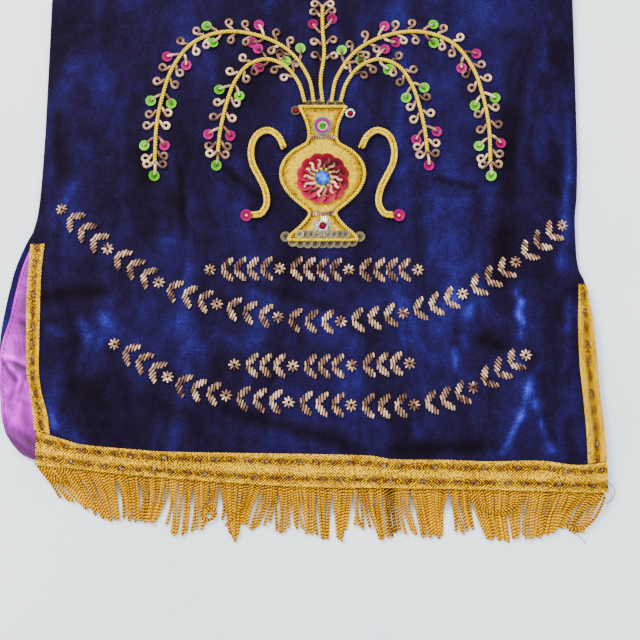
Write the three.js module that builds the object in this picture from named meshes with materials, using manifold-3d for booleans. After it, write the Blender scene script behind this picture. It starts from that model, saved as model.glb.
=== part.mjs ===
// Torah mantle lying on its back: two velvet panels joined at the sides and the top, open at the hem.
// Millimetres, +Z up from the surface it lies on, +Y towards the mantle's top, +X to its right.
import * as THREE from 'three';
import Module from 'manifold-3d';
import { mergeVertices } from 'three/addons/utils/BufferGeometryUtils.js';

// Cloth and layers, upward from the surface
const VELVET = 2.0;             // the front's velvet with its interlining
const BACK = 2.9;               // the back's, with a thicker interlining
const BORDER_TOP = 3.35;        // top of the back panel's turned-over border
const BORDER_WIDTH = 4.2;
const BORDER_STEP = 0.6;        // the turned edge's rounded step down
const LINING = 1.0;             // satin lining, eased, as thick as it lies
const LINING_CLEAR = 0.5;       // between the border's fold and the lining's edge
const CREASE = { x: -222, y: -291, width: 6, length: 14, height: 0.9, slope: 0.25 };    // by the left slit
const GAP = 0.3;                // between any two pieces
const FACET_ROOM = 0.1;         // extra over the velvet's facets
const SEAM_Z = BORDER_TOP + GAP;
const FULL_Z = 10.5;            // inner face of the front over the hollow
const OPEN_SHARE = 0.5;         // share of that height kept by the free edges of the side slits
const ROLL = 34;                // how far in from a seam the front takes to rise
const ROUND = 2.4;              // how round that rise is
const SLIT_EASE = 26;
const STEEP = 1.5;              // most that a slope thickens the sheet, measured upright

// Outline of the mantle
const TOP_Y = 414;
const CORNER = 24;
const SLIT_TOP_LEFT = -197;
const SLIT_TOP_RIGHT = -227;
const FRONT_LEFT = [            // y, x
  [-381, -202.5], [-361, -203], [-350, -204.5], [-336, -206], [-322, -208], [-308, -210.5],
  [-293, -213.5], [-257, -215.3], [-239, -216], [-200, -215], [-192, -214.8], [-177, -212.4],
  [-152, -210.6], [-100, -209.3], [150, -208], [414, -205],
];
const FRONT_RIGHT = [           // y, x
  [-381, 205], [-358, 205.8], [-336, 205.2], [-314, 203.4], [-284, 202], [-257, 200.6], [-245, 199],
  [-227, 196], [-218, 192.4], [-200, 191.6], [-177, 191.8], [-160, 193.8], [-121, 195.6], [150, 198],
  [414, 200],
];
const BACK_LEFT = [             // y, x
  [-357, -208], [-355, -213.5], [-351.5, -219.2], [-344, -225.8], [-337, -230], [-325, -233.2],
  [-317, -234.2], [-292, -236.4], [-267, -236.8], [-243, -233.6], [-230, -231.2], [-217, -228.4],
  [-204, -223.8], [-192, -218.6], [-180, -212], [-165, -210], [-100, -208], [150, -207], [414, -204],
];
const BACK_RIGHT = [            // y, x
  [-380, 209.5], [-372, 207], [-358, 203.5], [-336, 203], [-284, 199.5], [-245, 196], [-227, 193.5],
  [-200, 190.5], [-160, 192], [-121, 194], [150, 197], [414, 199],
];
const BACK_HEM = [[-208, -357], [-60, -364.5], [80, -372], [209.5, -380]];    // x, y
const BAND_BOTTOM = [           // x, y
  [-203, -361], [-170, -363.8], [-148, -366.5], [-119, -369], [-64, -373.2], [-14, -376], [57, -377],
  [128, -378.4], [205, -380.4],
];
const BAND_TOP = [              // x, y
  [-206, -336], [-182, -343], [-172, -345.8], [-152, -348], [-134, -349.4], [-112, -351], [-60, -352],
  [-7, -352.8], [36, -354], [52, -356.4], [93, -357], [119, -358], [158, -357.6], [184, -360.6],
  [206, -358.4],
];
const HEM_BACK = 4.2;           // the galloon hides the velvet's hem by this much

// Openings left in the top seam for the two staves
const STAVE_X = 75;
const STAVE_FLAT = 46;
const STAVE_FLANK = 22;
const FRONT_ENDS = [0, 3, 8, 15, 24, 36];    // rows and columns of the front near its edges, in from them

// Soft folds of the front: a ridge from one point to another
const FOLDS = [                 // x1, y1, x2, y2, half width, height
  [137, -226, 141, -282, 14, 1.6],
  [166, -286, 132, -336, 14, 1.7],
  [150, -312, 162, -338, 12, 1.2],
  [-187, -258, -140, -268, 20, 1.2],
  [-188, -312, -165, -328, 14, 1.1],
  [-176, -110, -166, -168, 16, 1.3],
  [120, 60, 168, 200, 26, 1.6],
  [-150, 120, -110, 260, 26, 1.6],
];
const FOLD_END = 1.6;           // a fold dies out over this many half widths past its ends
const WAVE = 0.35;              // broad unevenness of the cloth
const WAVE_X = 148;
const WAVE_Y = 190;
const STIFF = { x: 2, y: -150, reach: 95 };    // the appliqué keeps the cloth flat round it

// Side galloons: inner edge, the outer one is the front panel's own edge
const GALLOON = 1.2;
const GALLOON_OVER = 0.2;       // past the velvet's edge
const SLIT_BAR = 2;             // the galloon ends this far below the top of its slit
const SIDE_LEFT_INNER = [       // y, x
  [-339, -193.5], [-322, -196.5], [-308, -201.2], [-293, -203.8], [-277, -204.4], [-257, -204.6],
  [-239, -205.2], [-220, -205.3], [-199, -203.8],
];
const SIDE_RIGHT_INNER = [      // y, x
  [-357, 191.3], [-336, 191.2], [-314, 190.2], [-297, 189], [-284, 188.3], [-257, 188.6],
  [-245, 189.4], [-229, 190.4],
];

// Hem band, from end to end
const HEM_LEFT = -204.5;
const HEM_RIGHT = 206;

// Fringe: heading tape under the galloon's lower edge, then the strands
const HEADING = { from: 0.3, to: 3.8, lift: 0.15, thick: 1.7 };
const STRAND = { pitch: 2.3, width: 1.35, high: 1.15, floor: 0.05 };
const STRAND_FALL = [           // share of the reach, share of the drop
  [-0.04, 0], [0.12, 0.12], [0.5, 0.97], [1, 1],
];
const FRINGE_REACH = [          // x of the root, reach below the band, lean of the tip
  [-203, 17, 12], [-190, 21, 11.5], [-176, 24, 9], [-160, 31, 4], [-148, 34, 0.6], [-110, 34, 0.6],
  [-75, 37, -0.6], [-40, 33, 0], [0, 31, 0.6], [57, 30, -0.6], [110, 31.5, 0], [160, 33, -0.6],
  [185, 33, -4.5], [205, 29, -9.5],
];
const CLUMPS = [                // length of the wave along the hem, sideways swing, swing in reach, phase
  [41, 1.3, 2.0, 0.4], [23.5, 0.45, 1.3, 2.1],
];

// Flower urn of cord-covered appliqué, round its own axis
const URN_X = 2;
const URN_FOOT_Y = -197;
const APPLIQUE = 1.5;
const ON_URN = 2 * GAP + APPLIQUE;    // height of the urn's own face above the velvet
const URN_HALF = [              // height above the foot, half width
  [0, 26], [4, 23.5], [11, 16], [18, 10.6], [22, 10.4], [29, 18.5], [38, 27], [49, 31.5], [60, 29.6],
  [69, 22], [75, 12.5], [81, 10.6], [90, 11.8], [98, 14.8], [104, 18],
];
const FLOWER = { up: 47, radius: 20, petals: 10, scallop: 1.6, thick: 1.2 };
const STONE = { facets: 12, profile: [[0, 0], [5.5, 0], [5.5, 1], [3, 2.6], [0, 2.6]] };    // out, up
const NECK_SEQUIN = { up: 88, radius: 6.2, thick: 1.2 };
const FOOT_SEQUIN = { up: 10, radius: 7, thick: 1.2 };
const HANDLE_SEQUIN = { radius: 4.2, thick: 1.2 };

// Couched cords: their middle lines beside the urn's axis, on the front's face
const HANDLE_CORD = 4.4;
const HANDLE_PATH = [           // out from the axis, height above the foot
  [29, 71], [33.5, 80], [41, 84.5], [49.5, 80.5], [53.5, 70.5], [52.5, 59], [47.5, 48.5], [43, 39],
  [41.5, 28.5], [45.5, 20.5], [52, 19.2],
];
const STEM_CORD = 2.4;
const STEM_CENTRE = [[0, 107], [-1.5, 125], [1.2, 145], [0, 166], [0, 184]];
const STEM_INNER = [
  [13.5, 107], [18, 122], [28, 135], [42, 141], [57, 136], [67, 122], [73, 104], [77, 84], [78.5, 68],
];
const STEM_OUTER = [
  [6.5, 107], [11, 127], [26, 148], [49, 160], [75, 163], [99, 154], [114, 134], [121, 112], [125, 88],
  [125.5, 60],
];

// Colours
const COLOURS = {
  velvet: 0x1a1a4a, satin: 0xb560c0, galloon: 0xe0b83c, fringe: 0xe8ac18, cord: 0xe8c850, urn: 0xf0d060,
  red: 0xd01048, blue: 0x2060d0, pink: 0xe0109a, silver: 0xb8b8c0,
};

const wasm = await Module();
wasm.setup();

const mantle = new THREE.Group();

// Tables are read by a smooth curve through their rows, level past both ends
function along(table, at, column = 1) {
  const last = table.length - 1;
  if (at <= table[0][0]) return table[0][column];
  if (at >= table[last][0]) return table[last][column];
  const i = table.findIndex((row) => row[0] > at) - 1;
  const slope = (k) => {
    const a = table[Math.max(k - 1, 0)];
    const b = table[Math.min(k + 1, last)];
    return (b[column] - a[column]) / (b[0] - a[0]);
  };
  const span = table[i + 1][0] - table[i][0];
  const t = (at - table[i][0]) / span;
  const h = t * t * (3 - 2 * t);
  const bend = t * (1 - t) * span;
  return table[i][column] * (1 - h) + table[i + 1][column] * h
    + bend * ((1 - t) * slope(i) - t * slope(i + 1));
}

const clamp = (t) => Math.min(Math.max(t, 0), 1);
const ease = (t) => clamp(t) ** 2 * (3 - 2 * clamp(t));
const mix = (a, b, t) => a + (b - a) * t;

// How far a rounded top corner draws the side in
function cornerInset(y) {
  const up = Math.max(y - (TOP_Y - CORNER), 0);
  return CORNER - Math.sqrt(Math.max(CORNER ** 2 - up ** 2, 0));
}

const frontLeft = (y) => along(FRONT_LEFT, y) + cornerInset(y);
const frontRight = (y) => along(FRONT_RIGHT, y) - cornerInset(y);
const bandTop = (x) => along(BAND_TOP, x);
const bandBottom = (x) => along(BAND_BOTTOM, x);
const frontHem = (x) => bandBottom(x) + HEM_BACK;

// Rise of the front from a seam (closed 1) or from a free edge (closed 0)
function rise(distance, closed) {
  const dome = 1 - (1 - clamp(distance / ROLL)) ** ROUND;
  return mix(mix(OPEN_SHARE, 1, dome), dome, closed);
}

// 1 over a stave opening, 0 where the top seam is closed
function staveArch(x) {
  return 1 - ease((Math.abs(Math.abs(x) - STAVE_X) - STAVE_FLAT / 2) / STAVE_FLANK);
}

function foldHeight(x, y) {
  let sum = 0;
  for (const [x1, y1, x2, y2, half, height] of FOLDS) {
    const length = Math.hypot(x2 - x1, y2 - y1);
    const ux = (x2 - x1) / length;
    const uy = (y2 - y1) / length;
    const run = (x - x1) * ux + (y - y1) * uy;
    const off = (x - x1) * uy - (y - y1) * ux;
    const past = Math.max(-run, run - length, 0);
    sum += height * Math.exp(-((off / half) ** 2) - (past / (FOLD_END * half)) ** 2);
  }
  const wave = Math.sin(x / WAVE_X * 2 * Math.PI) * Math.cos(y / WAVE_Y * 2 * Math.PI);
  const calm = Math.exp(-((Math.hypot(x - STIFF.x, y - STIFF.y) / STIFF.reach) ** 4));
  return (sum + WAVE * (1 + wave)) * (1 - calm);
}

// Height of the front panel's inner face above the surface
function innerHeight(x, y) {
  const closedLeft = ease((y - SLIT_TOP_LEFT) / SLIT_EASE);
  const closedRight = ease((y - SLIT_TOP_RIGHT) / SLIT_EASE);
  const left = rise(x - frontLeft(y), closedLeft);
  const right = rise(frontRight(y) - x, closedRight);
  const top = mix(rise(TOP_Y - y, 1), 1, staveArch(x));
  const share = left * right * top;
  return SEAM_Z + (FULL_Z - SEAM_Z + foldHeight(x, y)) * share;
}

// The sheet keeps its thickness where it slopes
function outerHeight(x, y) {
  const step = 1.5;
  const here = innerHeight(x, y);
  const dx = (innerHeight(x + step, y) - here) / step;
  const dy = (innerHeight(x, y + step) - here) / step;
  return here + VELVET * Math.min(Math.hypot(1, dx, dy), STEEP);
}

// A geometry of numbered vertices and faces
function shell(positions, faces) {
  const geometry = new THREE.BufferGeometry();
  geometry.setAttribute('position', new THREE.Float32BufferAttribute(positions.flat(), 3));
  geometry.setIndex(faces.flat());
  geometry.computeVertexNormals();
  return geometry;
}

// One piece of the mantle
function piece(name, geometry, color, roughness) {
  const mesh = new THREE.Mesh(geometry, new THREE.MeshStandardMaterial({ color, roughness, metalness: 0 }));
  mesh.name = name;
  mantle.add(mesh);
  return mesh;
}

// A sheet over a grid of plan points, rows from the hem up and each row from left to right
function gridSheet(rows, lower, upper) {
  const across = rows[0].length;
  const count = rows.length * across;
  const positions = [];
  for (const height of [upper, lower]) {
    for (const row of rows) {
      for (const [x, y] of row) positions.push([x, y, height(x, y)]);
    }
  }
  const faces = [];
  const at = (j, i) => j * across + i;
  for (let j = 0; j < rows.length - 1; j += 1) {
    for (let i = 0; i < across - 1; i += 1) {
      const [a, b, c, d] = [at(j, i), at(j, i + 1), at(j + 1, i + 1), at(j + 1, i)];
      faces.push([a, b, c], [a, c, d]);
      faces.push([a + count, c + count, b + count], [a + count, d + count, c + count]);
    }
  }
  const rim = [];
  for (let i = 0; i < across; i += 1) rim.push(at(0, i));
  for (let j = 1; j < rows.length; j += 1) rim.push(at(j, across - 1));
  for (let i = across - 2; i >= 0; i -= 1) rim.push(at(rows.length - 1, i));
  for (let j = rows.length - 2; j > 0; j -= 1) rim.push(at(j, 0));
  rim.forEach((a, k) => {
    const b = rim[(k + 1) % rim.length];
    faces.push([a, a + count, b + count], [a, b + count, b]);
  });
  return shell(positions, faces);
}

// Even steps from one value to another
function spaced(from, to, count) {
  return Array.from({ length: count + 1 }, (_, k) => mix(from, to, k / count));
}

// Distances across a span: fixed steps at each end and even ones between
function stations(length, ends, pitch) {
  const inner = length - 2 * ends.at(-1);
  const middle = spaced(ends.at(-1), length - ends.at(-1), Math.round(inner / pitch)).slice(1, -1);
  return [...ends, ...middle, ...[...ends].reverse().map((end) => length - end)];
}

// Plan grid of a panel between its left and right edges, its hem and its top
function panelGrid({ left, right, hem, top, endsX, endsY, pitchX, pitchY }) {
  const width = right(0) - left(0);
  const height = top - hem(0);
  const shareX = stations(width, endsX, pitchX).map((s) => s / width);
  const shareY = stations(height, endsY, pitchY).map((s) => s / height);
  const level = BAND_BOTTOM[0][1];
  return shareY.map((v) => shareX.map((u) => {
    const y = mix(hem(mix(left(level), right(level), u)), top, v);
    return [mix(left(y), right(y), u), y];
  }));
}

// Back panel: flat on the surface, its edge turned over on top as a border
const FOLD_OVER = [0, BORDER_WIDTH, BORDER_WIDTH + BORDER_STEP];
const backRows = panelGrid({
  left: (y) => along(BACK_LEFT, y) + cornerInset(y),
  right: (y) => along(BACK_RIGHT, y) - cornerInset(y),
  hem: (x) => along(BACK_HEM, x),
  top: TOP_Y - 1,
  endsX: [...FOLD_OVER, 24],
  endsY: [...FOLD_OVER, 11, 22],
  pitchX: 62,
  pitchY: 31,
});
function addBackPanel() {
  const geometry = gridSheet(backRows, () => 0, () => BACK);
  const across = backRows[0].length;
  for (let n = 0; n < backRows.length * across; n += 1) {
    const i = n % across;
    const j = Math.floor(n / across);
    const fromEdge = Math.min(i, across - 1 - i, j, backRows.length - 1 - j);
    if (fromEdge < 2) geometry.attributes.position.setZ(n, BORDER_TOP);
  }
  piece('back_panel', geometry, COLOURS.velvet, 0.85);
}

// Lining of the back: satin inside the border, with a pinched crease by the left slit
function addBackLining() {
  const inside = backRows.slice(2, -2).map((row) => row.slice(2, -2));
  const inward = (k, count) => Math.min(Math.max(k, 1), count - 2);
  const rows = inside.map((row, j) => row.map(([x, y], i) => {
    const [nextX, nextY] = inside[inward(j, inside.length)][inward(i, row.length)];
    const share = LINING_CLEAR / Math.max(Math.hypot(nextX - x, nextY - y), 1);
    return [mix(x, nextX, share), mix(y, nextY, share)];
  }));
  const crease = (x, y) => CREASE.height * ease((CREASE.x + CREASE.length - x) / CREASE.length)
    * Math.exp(-(((y - CREASE.y - CREASE.slope * (x - CREASE.x)) / CREASE.width) ** 2));
  const lower = (x, y) => BACK + GAP + crease(x, y);
  piece('back_lining', gridSheet(rows, lower, (x, y) => lower(x, y) + LINING), COLOURS.satin, 0.35);
}

// Front panel: rises from its seams over the hollow, open at the hem, the slits and the stave openings
function addFrontPanel() {
  const rows = panelGrid({
    left: frontLeft, right: frontRight, hem: frontHem, top: TOP_Y, endsX: FRONT_ENDS, endsY: FRONT_ENDS,
    pitchX: 22, pitchY: 22,
  });
  piece('front_panel', gridSheet(rows, innerHeight, outerHeight), COLOURS.velvet, 0.85);
}

// A woven strip that lies on the front's face, clear of its facets too
function galloon(name, rows) {
  const lower = (x, y) => outerHeight(x, Math.max(y, frontHem(x))) + GAP + FACET_ROOM;
  piece(name, gridSheet(rows, lower, (x, y) => lower(x, y) + GALLOON), COLOURS.galloon, 0.5);
}

// Galloon on a slit's front edge, from the hem band to the top of the slit
function addSideGalloon(name, leftEdge, rightEdge, top) {
  const foot = top === SLIT_TOP_LEFT ? BAND_TOP[0][1] : BAND_TOP.at(-1)[1];
  galloon(name, spaced(0, 1, 14).map((t) => {
    const y = mix(foot, top - SLIT_BAR, t);
    const [a, b] = [leftEdge(y), rightEdge(y)];
    return [a, (a + b) / 2, b].map((x) => [x, mix(bandTop(x) + SLIT_BAR / 4, top - SLIT_BAR, t)]);
  }));
}

// Hem band: two galloons side by side, the lower one overhanging the velvet's hem
function addHemGalloon(name, lowEdge, highEdge) {
  const across = spaced(HEM_LEFT, HEM_RIGHT, 36);
  galloon(name, [lowEdge, highEdge].map((edge) => across.map((x) => [x, edge(x)])));
}

// One strand: a three-sided cord, flat side down, through points that run towards -Y
function strand(points) {
  const half = STRAND.width / 2;
  const section = [[-half, 0], [half, 0], [0, STRAND.high]];
  const positions = points.flatMap(([x, y, z], k) => {
    const before = points[Math.max(k - 1, 0)];
    const after = points[Math.min(k + 1, points.length - 1)];
    const run = Math.hypot(after[0] - before[0], after[1] - before[1]);
    const side = [(after[1] - before[1]) / run, -(after[0] - before[0]) / run];
    return section.map(([out, up]) => [x + side[0] * out, y + side[1] * out, z + up]);
  });
  const faces = [];
  for (let k = 0; k < points.length - 1; k += 1) {
    for (let s = 0; s < 3; s += 1) {
      const [a, b] = [k * 3 + s, k * 3 + (s + 1) % 3];
      faces.push([a, b + 3, b], [a, a + 3, b + 3]);
    }
  }
  const last = (points.length - 1) * 3;
  faces.push([0, 1, 2], [last, last + 2, last + 1]);
  return shell(positions, faces);
}

// A solid that can be joined with others
function solid(geometry) {
  const bare = geometry.clone();
  bare.deleteAttribute('normal');
  const merged = mergeVertices(bare, 1e-4);
  return new wasm.Manifold(new wasm.Mesh({
    numProp: 3,
    vertProperties: merged.attributes.position.array,
    triVerts: new Uint32Array(merged.index.array),
  }));
}

// Fringe: strands fall from the heading tape to the surface and lie level on it
function addFringe() {
  const tapeLow = (x) => innerHeight(x, frontHem(x)) + HEADING.lift;
  const across = spaced(HEM_LEFT, HEM_RIGHT - 1, 36);
  const tape = [HEADING.from, HEADING.to].map((up) => across.map((x) => [x, bandBottom(x) + up]));
  const parts = [solid(gridSheet(tape, tapeLow, (x) => tapeLow(x) + HEADING.thick))];
  for (let x = HEM_LEFT + STRAND.width; x < HEM_RIGHT - 2 * STRAND.width; x += STRAND.pitch) {
    let reach = along(FRINGE_REACH, x);
    let lean = along(FRINGE_REACH, x, 2);
    for (const [length, swing, longer, phase] of CLUMPS) {
      lean += swing * Math.sin(x / length * 2 * Math.PI + phase);
      reach += longer * Math.cos(x / length * 2 * Math.PI + phase);
    }
    const rootZ = tapeLow(x) + (HEADING.thick - STRAND.high) / 2;
    parts.push(solid(strand(STRAND_FALL.map(([out, drop]) => (
      [x + lean * Math.max(out, 0), bandBottom(x) - reach * out, mix(rootZ, STRAND.floor, drop)]
    )))));
  }
  const joined = wasm.Manifold.union(parts).getMesh();
  const geometry = new THREE.BufferGeometry();
  geometry.setAttribute('position', new THREE.Float32BufferAttribute(joined.vertProperties, joined.numProp));
  geometry.setIndex(Array.from(joined.triVerts));
  geometry.computeVertexNormals();
  piece('fringe', geometry, COLOURS.fringe, 0.6);
}

// Flower urn: appliqué, even about its axis
function addUrn() {
  const rows = URN_HALF.map(([up, half]) => [-1, -0.5, 0, 0.5, 1].map((s) => (
    [URN_X + s * half, URN_FOOT_Y + up]
  )));
  const lower = (x, y) => outerHeight(x, y) + GAP;
  piece('urn_applique', gridSheet(rows, lower, (x, y) => lower(x, y) + APPLIQUE), COLOURS.urn, 0.55);
}

// A geometry that stands on +Y is turned to +Z and set on the face, this far above the velvet
function setOnFace(name, geometry, x, y, above, colour, roughness) {
  const mesh = piece(name, geometry, colour, roughness);
  mesh.rotation.x = Math.PI / 2;
  mesh.position.set(x, y, outerHeight(x, y) + above);
  return mesh;
}

// A round sequin
function addSequin(name, x, y, { radius, thick }, above, colour) {
  const round = new THREE.CylinderGeometry(radius, radius, thick, 16);
  setOnFace(name, round, x, y, above + thick / 2, colour, 0.3);
}

// Flower of sequins on the urn, and the cut stone in its middle
function addFlower() {
  const edge = Array.from({ length: FLOWER.petals * 4 }, (_, k) => {
    const turn = k / (FLOWER.petals * 4) * 2 * Math.PI;
    const out = FLOWER.radius - FLOWER.scallop * (1 - Math.cos(FLOWER.petals * turn)) / 2;
    return new THREE.Vector2(out * Math.cos(turn), out * Math.sin(turn));
  });
  const y = URN_FOOT_Y + FLOWER.up;
  const outline = new THREE.Shape(edge);
  const petals = new THREE.ExtrudeGeometry(outline, { depth: FLOWER.thick, bevelEnabled: false });
  const flower = piece('urn_flower', petals, COLOURS.red, 0.3);
  flower.position.set(URN_X, y, outerHeight(URN_X, y) + ON_URN);
  const profile = STONE.profile.map(([out, up]) => new THREE.Vector2(out, up));
  const stone = new THREE.LatheGeometry(profile, STONE.facets);
  setOnFace('urn_flower_stone', stone, URN_X, y, ON_URN + FLOWER.thick + GAP, COLOURS.blue, 0.1);
}

// Cords couched on the face: a round section that lies just clear of the velvet
function addCord(name, path, mirror, width, sides, steps) {
  const plan = new THREE.CatmullRomCurve3(path.map(([out, up]) => (
    new THREE.Vector3(URN_X + mirror * out, URN_FOOT_Y + up, 0)
  )));
  const onFace = plan.getSpacedPoints(steps).map(({ x, y }) => (
    new THREE.Vector3(x, y, outerHeight(x, y) + GAP + FACET_ROOM + width / 2)
  ));
  const section = new THREE.Shape(Array.from({ length: sides }, (_, k) => {
    const turn = k / sides * 2 * Math.PI;
    return new THREE.Vector2(width / 2 * Math.cos(turn), width / 2 * Math.sin(turn));
  }));
  const cord = new THREE.ExtrudeGeometry(section, {
    steps, extrudePath: new THREE.CatmullRomCurve3(onFace), bevelEnabled: false,
  });
  piece(name, cord, COLOURS.cord, 0.5);
}

addBackPanel();
addBackLining();
addFrontPanel();
addSideGalloon(
  'side_galloon_left',
  (y) => along(FRONT_LEFT, y) - GALLOON_OVER,
  (y) => along(SIDE_LEFT_INNER, y),
  SLIT_TOP_LEFT,
);
addSideGalloon(
  'side_galloon_right',
  (y) => along(SIDE_RIGHT_INNER, y),
  (y) => along(FRONT_RIGHT, y) + GALLOON_OVER,
  SLIT_TOP_RIGHT,
);
const bandMiddle = (x) => mix(bandBottom(x), bandTop(x), 0.5);
addHemGalloon('hem_galloon_upper', (x) => bandMiddle(x) + GAP / 2, bandTop);
addHemGalloon('hem_galloon_lower', bandBottom, (x) => bandMiddle(x) - GAP / 2);
addFringe();
addUrn();
addFlower();
addSequin('urn_neck_sequin', URN_X, URN_FOOT_Y + NECK_SEQUIN.up, NECK_SEQUIN, ON_URN, COLOURS.pink);
addSequin('urn_foot_sequin', URN_X, URN_FOOT_Y + FOOT_SEQUIN.up, FOOT_SEQUIN, ON_URN, COLOURS.silver);
for (const [side, mirror] of [['left', -1], ['right', 1]]) {
  addCord(`urn_handle_${side}`, HANDLE_PATH, mirror, HANDLE_CORD, 6, 18);
  addCord(`stem_inner_${side}`, STEM_INNER, mirror, STEM_CORD, 5, 13);
  addCord(`stem_outer_${side}`, STEM_OUTER, mirror, STEM_CORD, 5, 16);
  const [out, up] = HANDLE_PATH.at(-1);
  const x = URN_X + mirror * (out + HANDLE_SEQUIN.radius + GAP);
  addSequin(`handle_sequin_${side}`, x, URN_FOOT_Y + up, HANDLE_SEQUIN, GAP + FACET_ROOM, COLOURS.pink);
}
addCord('stem_centre', STEM_CENTRE, 1, STEM_CORD, 5, 8);

export default mantle;
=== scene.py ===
import math

import bpy
import numpy as np
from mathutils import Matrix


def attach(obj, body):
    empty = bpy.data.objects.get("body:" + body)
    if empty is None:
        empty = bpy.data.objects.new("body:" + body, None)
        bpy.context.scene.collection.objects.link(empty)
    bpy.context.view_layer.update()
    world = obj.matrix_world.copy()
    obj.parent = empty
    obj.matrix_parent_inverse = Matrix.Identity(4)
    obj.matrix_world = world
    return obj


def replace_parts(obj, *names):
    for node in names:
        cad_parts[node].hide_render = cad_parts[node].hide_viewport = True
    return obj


# A torah mantle of navy velvet, lying front up. Tables are in millimetres, in the CAD's own frame.
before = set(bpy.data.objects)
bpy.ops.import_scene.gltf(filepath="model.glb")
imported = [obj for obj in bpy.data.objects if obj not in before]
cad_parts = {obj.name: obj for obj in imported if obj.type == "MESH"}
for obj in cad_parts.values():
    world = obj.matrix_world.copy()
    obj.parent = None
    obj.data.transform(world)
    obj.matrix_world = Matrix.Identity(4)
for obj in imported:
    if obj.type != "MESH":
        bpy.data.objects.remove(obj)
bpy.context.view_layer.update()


# Surface, light and camera
# The mantle lies on a plain pale sheet, in soft daylight: a pale room all round and one wide window,
# seen from above, tilted a little towards its hem.


def linear(code):
    """An sRGB hex colour as linear RGBA: a power curve of 2.4, and a straight line at the dark end."""
    channels = [int(code[i:i + 2], 16) / 255 for i in (1, 3, 5)]
    return [c / 12.92 if c <= 0.04045 else ((c + 0.055) / 1.055) ** 2.4 for c in channels] + [1.0]


def node(tree, kind, inputs=None, stops=None, **settings):
    """Adds a node with its settings, a ramp's stops (place, hex colour), and its inputs' values or links.
    A word as an input stands for the attribute of that name."""
    made = tree.nodes.new("ShaderNode" + kind)
    for name, value in settings.items():
        setattr(made, name, value)
    if stops:
        ramp = made.color_ramp
        while len(ramp.elements) < len(stops):
            ramp.elements.new(1.0)
        for element, (place, code) in zip(ramp.elements, stops):
            element.position, element.color = place, linear(code)
    for name, value in (inputs or {}).items():
        if isinstance(value, str):
            value = node(tree, "Attribute", attribute_name=value).outputs["Fac"]
        if isinstance(value, bpy.types.Node):
            value = value.outputs[0]
        if isinstance(value, bpy.types.NodeSocket):
            tree.links.new(value, made.inputs[name])
        else:
            made.inputs[name].default_value = value
    return made


def finish_for(name, **constants):
    """A named material with its shader's sockets set to the constants, its node tree, and the object's
    coordinates there, in metres."""
    made = bpy.data.materials.new(name)
    made.use_nodes = True
    for socket, value in constants.items():
        made.node_tree.nodes["Principled BSDF"].inputs[socket.replace("_", " ")].default_value = value
    return made, made.node_tree, node(made.node_tree, "TexCoord").outputs["Object"]


def dress(tree, colour, height=None, strength=0.0, distance=0.0):
    """Gives a finish its colour, and the relief of a height whose full step is a distance in metres."""
    shader = tree.nodes["Principled BSDF"]
    tree.links.new(colour.outputs[0], shader.inputs["Base Color"])
    if height is not None:
        bump = node(tree, "Bump", {"Height": height, "Strength": strength, "Distance": distance})
        tree.links.new(bump.outputs[0], shader.inputs["Normal"])


def put(name, data):
    """A new object in the scene."""
    made = bpy.data.objects.new(name, data)
    bpy.context.scene.collection.objects.link(made)
    return made


def look_along(thing, place, target):
    """Puts a light at a place with its face to the target, both in metres."""
    thing.location = place
    away = np.subtract(place, target)
    thing.rotation_euler = (math.atan2(math.hypot(away[0], away[1]), away[2]), 0,
                            math.atan2(away[0], -away[1]))


# smooth matt paper, very slightly cloudy
sheet_paper, tree, place = finish_for("pale_table_sheet", Roughness=0.9)
cloud = node(tree, "TexNoise", {"Vector": place, "Scale": 5.0, "Detail": 3.0})
dress(tree, node(tree, "ValToRGB", {"Fac": cloud}, [(0.3, "#e0eaf0"), (0.7, "#edf5f9")]))
table_mesh = bpy.data.meshes.new("table_sheet")
table_mesh.from_pydata([(4 * x, 4 * y, -0.0002) for x, y in ((-1, -1), (1, -1), (1, 1), (-1, 1))], [],
                       [(0, 1, 2, 3)])
table_mesh.materials.append(sheet_paper)
put("table_sheet", table_mesh)

room = bpy.data.worlds.new("pale_room")
room.use_nodes = True
room.node_tree.nodes["Background"].inputs["Color"].default_value = linear("#eef3f8")
room.node_tree.nodes["Background"].inputs["Strength"].default_value = 1.6
bpy.context.scene.world = room
for name, place, size, power, tint in (
    ("window", (-0.85, 0.75, 1.5), 0.7, 62.0, "#fff8ee"),
    ("overhead", (0.3, -0.2, 1.7), 1.8, 22.0, "#f0f4ff"),
):
    lamp = bpy.data.lights.new(name, "AREA")
    lamp.size, lamp.energy, lamp.color = size, power, linear(tint)[:3]
    look_along(put(name, lamp), place, (0, -0.15, 0))

CAMERA_TILT = 8.0                           # degrees from straight down
camera_lens = bpy.data.cameras.new("camera")
camera_lens.lens = 50
camera = put("camera", camera_lens)
camera.location = (0, -0.34646, 0.65617)    # 0.65 m from the middle of what the photo shows
camera.rotation_euler = (math.radians(CAMERA_TILT), 0, 0)
bpy.context.scene.camera = camera


# Back panel
# One cut of navy cotton velvet on an interlining, flat on the surface, its edge turned over on top as
# a narrow border. The cut pile is crushed here and there; its lighter or darker sheen is painted.

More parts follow.
